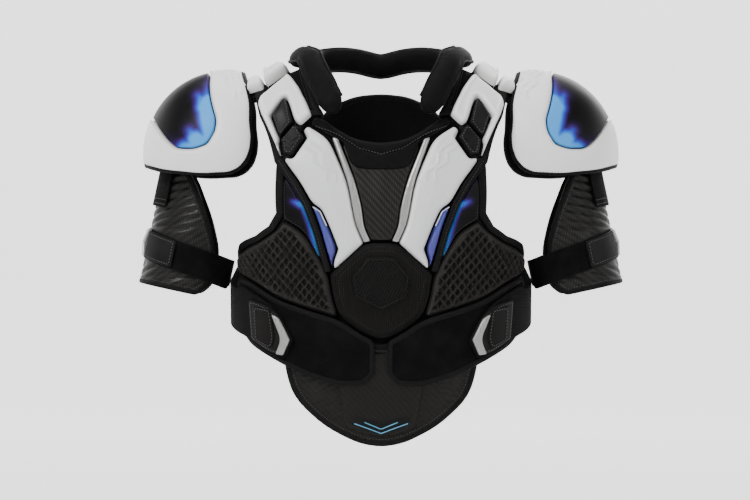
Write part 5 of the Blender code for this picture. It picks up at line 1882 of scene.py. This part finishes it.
class PAD_OT_arm_straps(PadOperator):
    """Makes the upper arm straps with their patch and silver chevron"""

    bl_idname = "pads.arm_straps"
    bl_label = "Arm Straps"

    def make(self, sizes):
        loop = arm_degrees(band(*STRAP_ENDS, STRAP_WIDTH / MM, 6))
        drop = [float(np.interp(a, [STRAP_ENDS[0][0], STRAP_ENDS[1][0]],
            [STRAP_ENDS[0][1], STRAP_ENDS[1][1]])) for a in (28, TAG_SPAN[1])]
        tag = arm_degrees(band((28, drop[0]), (TAG_SPAN[1], drop[1]), STRAP_WIDTH / MM - 2, 3))
        middle = STRAP_ENDS[0][1] + 0.6
        half = STRAP_WIDTH / MM / 2 - 1.0
        chevron = arm_degrees([(24, middle - half), (31, middle - half), (22, middle), (31, middle + half),
            (24, middle + half), (15, middle)])
        top = STRAP_LOW + STRAP_WALL
        for name, side in SIDES:
            body = f"arm_strap_{name}"
            strap = panel(f"bicep_strap_{name}", [loop], arm_sheet, STRAP_LOW, top, "velour", side,
                step=0.0022, bevel=0.0009, corner=0.004, start=0.5)
            put(strap, body, f"bicep_strap_{name}")
            put(binding(f"bicep_strap_binding_{name}", loop, arm_sheet, STRAP_LOW + 0.0003, top - 0.0003,
                0.0034, "binding_tape", side, proud=0.0002), body)
            patch = panel(f"bicep_tag_{name}", [tag], arm_sheet, top + 0.0004, top + 0.0036,
                "moulded_rubber", side, step=0.0018, bevel=0.0009, corner=0.0025,
                relief=facet(0.004, 0.0004))
            put(patch, body, f"bicep_tag_{name}")
            mark = panel(f"bicep_chevron_{name}", [chevron], arm_sheet, top + 0.0006, top + 0.0042,
                "silver_film", side, step=0.0012, bevel=0.0010, corner=0.0010)
            put(mark, body)
            sewn(f"bicep_tag_seams_{name}", body, [seam(tag, arm_sheet, top + 0.0039, 0.0026, side,
                0.0025)], "grey_thread")


def belt_height(base):
    """The belt lies on the landing in front and comes down to the liner behind."""

    def height(pattern):
        share = np.clip((pattern[:, 0] / GIRTH_RADIUS - BELT_FALL[0]) / (BELT_FALL[1] - BELT_FALL[0]), 0, 1)
        return base + (BELT_AT_BACK - BELT[0]) * eased(share)

    return height


def belt_edges(rows):
    """Lower and upper edge of the belt along a few of its centre points."""
    centre = np.array([(math.radians(a) * GIRTH_RADIUS, z * MM) for a, z in rows])
    return centre - (0, BELT_WIDTH / 2), (centre + (0, BELT_WIDTH / 2))[::-1]


class PAD_OT_belts(PadOperator):
    """Makes the velour landings and the side belts with their end tabs"""

    bl_idname = "pads.belts"
    bl_label = "Belts"

    def make(self, sizes):
        landing = on_trunk(BELT_LANDING, LANDING[1])
        low, high = belt_height(BELT[0]), belt_height(BELT[1])
        lower, upper = belt_edges(BELT_SIDE)
        outline = np.concatenate([on_trunk(BELT_FRONT, BELT[1]), lower, upper])
        tab = on_trunk(BELT_TAB, TAB_TOP)
        patch = on_trunk([(140, -203), (119, -207), (114.5, -240), (119, -252), (138, -242)], TAB_TOP)
        chevron = on_trunk([(110.5, -216.5), (119.5, -212), (108.5, -240), (115, -256), (106, -257.5),
            (98.5, -240.5)], TAB_TOP)
        for name, side in SIDES:
            base = panel(f"belt_landing_{name}", [landing], trunk_sheet, LANDING[0], LANDING[1] - 0.0004,
                "velour", side, step=0.0026, bevel=0.0012, corner=0.008, crown=0.0006)
            put(base, "vest", f"belt_landing_{name}", padded=0.4)
            put(binding(f"belt_landing_binding_{name}", landing, trunk_sheet, LANDING[0],
                LANDING[1] - 0.0002, 0.0050, "binding_tape", side, proud=0.0010, corner=0.008), "vest")
            body = f"side_belt_{name}"
            strap = panel(f"belt_{name}", [outline], trunk_sheet, low, high, "elastic_webbing", side,
                step=0.0026, bevel=0.0009, corner=0.003, start=0.5)
            settle([f"belt_side_{name}", f"belt_strap_{name}"])
            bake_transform(strap)
            end = panel(f"belt_tab_{name}", [tab], trunk_sheet, BELT[1] + 0.0004, TAB_TOP - 0.0008,
                "moulded_rubber", side, step=0.0018, bevel=0.0012, corner=0.003,
                relief=facet(0.004, 0.0005))
            put(end, body, f"belt_tab_{name}")
            square = panel(f"belt_patch_{name}", [patch], trunk_sheet, TAB_TOP - 0.0008, TAB_TOP + 0.0009,
                "ribbed_black", side, step=0.0018, bevel=0.0008, corner=0.003)
            points = pattern_of(square)
            set_mark(square, (points[:, 0] + 0.7 * points[:, 1]) / (0.8 * sizes.rib_pitch))
            put(square, body)
            arrow = panel(f"belt_chevron_{name}", [chevron], trunk_sheet, TAB_TOP - 0.0008,
                TAB_TOP + 0.0014, "silver_film", side, step=0.0012, bevel=0.0010, corner=0.001)
            put(arrow, body)
            sewn(f"belt_tab_seams_{name}", body, [seam(tab, trunk_sheet, TAB_TOP - 0.0001, 0.0022, side,
                0.003), seam(patch, trunk_sheet, TAB_TOP + 0.0009, 0.0022, side, 0.003)], "grey_thread")


class PAD_OT_belly(PadOperator):
    """Makes the belly extension pad with its centre panel and plain line label"""

    bl_idname = "pads.belly"
    bl_label = "Belly Pad"

    def make(self, sizes):
        body = "belly_extension"
        loop = on_trunk(mirrored(BELLY_OUTLINE), BELLY_PAD[1])

        def waves(points, edge):
            turn, drop = np.abs(points[:, 0]) / MM, points[:, 1] / MM
            wave = 0.5 + 0.5 * np.cos(2 * math.pi * (drop + 0.35 * turn + 1.6 * np.sin(turn / 9)) / 6.4)
            return -0.0011 * (1 - wave) ** 1.6 * np.clip((edge - 0.006) / 0.005, 0, 1)

        pad = panel("extension_pad", [loop], trunk_sheet, BELLY_PAD[0], BELLY_PAD[1] + 0.0006,
            "carbon_fine", step=0.0019, bevel=0.0022, corner=0.008, crown=0.0004, relief=waves,
            inner_finish="lining")
        put(pad, body, "extension_pad", padded=0.7)
        put(binding("extension_binding", loop, trunk_sheet, BELLY_PAD[0], BELLY_PAD[1] + 0.0002, 0.0052,
            "binding_tape", proud=0.0011, corner=0.008), body)
        centre = on_trunk(mirrored(BELLY_CENTRE), BELLY_PANEL[1])
        panel_piece = panel("extension_panel", [centre], trunk_sheet, BELLY_PAD[1] - 0.0004,
            BELLY_PANEL[1] + 0.0006, "carbon_fine", step=0.0024, bevel=0.0018, corner=0.006, crown=0.0006)
        put(panel_piece, body, "extension_panel", padded=0.7)
        top = BELLY_PANEL[1] + 0.0012
        patch = on_trunk(mirrored([(0, -322), (33, -323), (31, -331), (20, -339.5), (0, -342.5)]),
            BELLY_PANEL[1])
        put(panel("extension_patch", [patch], trunk_sheet, BELLY_PANEL[1] - 0.0004, top - 0.0001,
            "moulded_rubber", step=0.002, bevel=0.0006, corner=0.003), body)
        labels = []
        for shift, spread in ((0.0, 18), (4.5, 29)):
            labels.append(laid(on_trunk([(-spread, -329.5 - shift * 0.3), (0, -337 - shift),
                (spread, -329.5 - shift * 0.3)], top), trunk_sheet, top + 0.0002))
        grown("extension_label", body, "rib", labels, "sky_print", Radius=0.0006, Spacing=0.002)
        sewn("extension_seams", body, [seam(centre, trunk_sheet, BELLY_PANEL[1] + 0.0002, 0.0034, 1, 0.006),
            seam(loop, trunk_sheet, BELLY_PAD[1] + 0.0008, 0.0070, 1, 0.008)])


# Settings


def length(name, description, default):
    return bpy.props.FloatProperty(name=name, description=description, default=default, min=0.0,
        subtype="DISTANCE", unit="LENGTH", precision=4)


def colour(name, description, default):
    return bpy.props.FloatVectorProperty(name=name, description=description, default=default,
        subtype="COLOR", size=3, min=0.0, max=1.0)


class PadSizes(bpy.types.PropertyGroup):
    """Sizes of the trimmings"""

    stitch_pitch: length("Stitch Pitch", "Distance from one stitch to the next", 0.0034)
    stitch_length: length("Stitch Length", "Length of one stitch", 0.0024)
    thread_thickness: length("Thread Thickness", "Half the thickness of the sewing thread", 0.00045)
    binding: length("Binding Width", "Width of the tape round the liners", 0.0046)
    cap_binding: length("Cap Tape Width", "Width of the tape round the shoulder caps", 0.0062)
    mesh_across: length("Mesh Pitch Across", "Distance between mesh openings across the pad", 0.0084)
    mesh_down: length("Mesh Pitch Down", "Distance between mesh openings down the pad", 0.0114)
    rib_pitch: length("Rib Pitch", "Distance between the fine ribs of the shield", 0.0024)


class PadColours(bpy.types.PropertyGroup):
    """Colours of the covers and films"""

    white: colour("White", "Colour of the moulded plates", (0.88, 0.88, 0.875))
    sky: colour("Sky", "Brightest colour of the printed flames", (0.065, 0.31, 0.72))
    violet: colour("Violet", "Colour of the accents beside the arches", (0.046, 0.038, 0.235))
    silver: colour("Silver", "Colour of the foil trims", (0.46, 0.455, 0.45))


class PadStage(bpy.types.PropertyGroup):
    """Camera, floor and lights"""

    camera_distance: length("Camera Distance", "Distance of the camera from the wearer's middle", 3.66)
    camera_height: bpy.props.FloatProperty(name="Camera Height",
        description="Height of the camera above the shoulder line", default=-0.143, subtype="DISTANCE",
        unit="LENGTH")
    floor_height: bpy.props.FloatProperty(name="Floor Height", description="Height of the studio floor",
        default=-0.95, subtype="DISTANCE", unit="LENGTH")
    lens: bpy.props.FloatProperty(name="Lens", description="Focal length of the camera", default=157.0,
        unit="CAMERA")
    key_power: bpy.props.FloatProperty(name="Key Light", description="Power of the main light",
        default=70.0, unit="POWER")
    air: bpy.props.FloatProperty(name="Ambient Light", description="Strength of the light from all round",
        default=0.34)


OPERATORS = (PAD_OT_stage, PAD_OT_liners, PAD_OT_sternum, PAD_OT_arches, PAD_OT_chest_films,
    PAD_OT_mesh_pads, PAD_OT_shield, PAD_OT_clavicles, PAD_OT_collar, PAD_OT_back, PAD_OT_shoulder_arches,
    PAD_OT_caps, PAD_OT_arm_guards, PAD_OT_arm_straps, PAD_OT_belts, PAD_OT_belly)


class PAD_PT_panel(bpy.types.Panel):
    """Lists the settings and the build steps"""

    bl_label = "Shoulder Pads"
    bl_idname = "PAD_PT_panel"
    bl_space_type = "VIEW_3D"
    bl_region_type = "UI"
    bl_category = "Shoulder Pads"

    def draw(self, context):
        for group in (context.scene.pad_sizes, context.scene.pad_colours, context.scene.pad_stage):
            box = self.layout.box()
            for label in group.bl_rna.properties.keys():
                if label not in {"rna_type", "name"}:
                    box.prop(group, label)
        for step in OPERATORS:
            self.layout.operator(step.bl_idname)


CLASSES = (PadSizes, PadColours, PadStage, *OPERATORS, PAD_PT_panel)


def register():
    for item in CLASSES:
        bpy.utils.register_class(item)
    bpy.types.Scene.pad_sizes = bpy.props.PointerProperty(type=PadSizes)
    bpy.types.Scene.pad_colours = bpy.props.PointerProperty(type=PadColours)
    bpy.types.Scene.pad_stage = bpy.props.PointerProperty(type=PadStage)


def unregister():
    for label in ("pad_sizes", "pad_colours", "pad_stage"):
        delattr(bpy.types.Scene, label)
    for item in reversed(CLASSES):
        bpy.utils.unregister_class(item)


def main():
    register()
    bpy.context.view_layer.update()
    for step in OPERATORS:
        area, label = step.bl_idname.split(".")
        getattr(getattr(bpy.ops, area), label)()


if __name__ == "__main__":
    main()
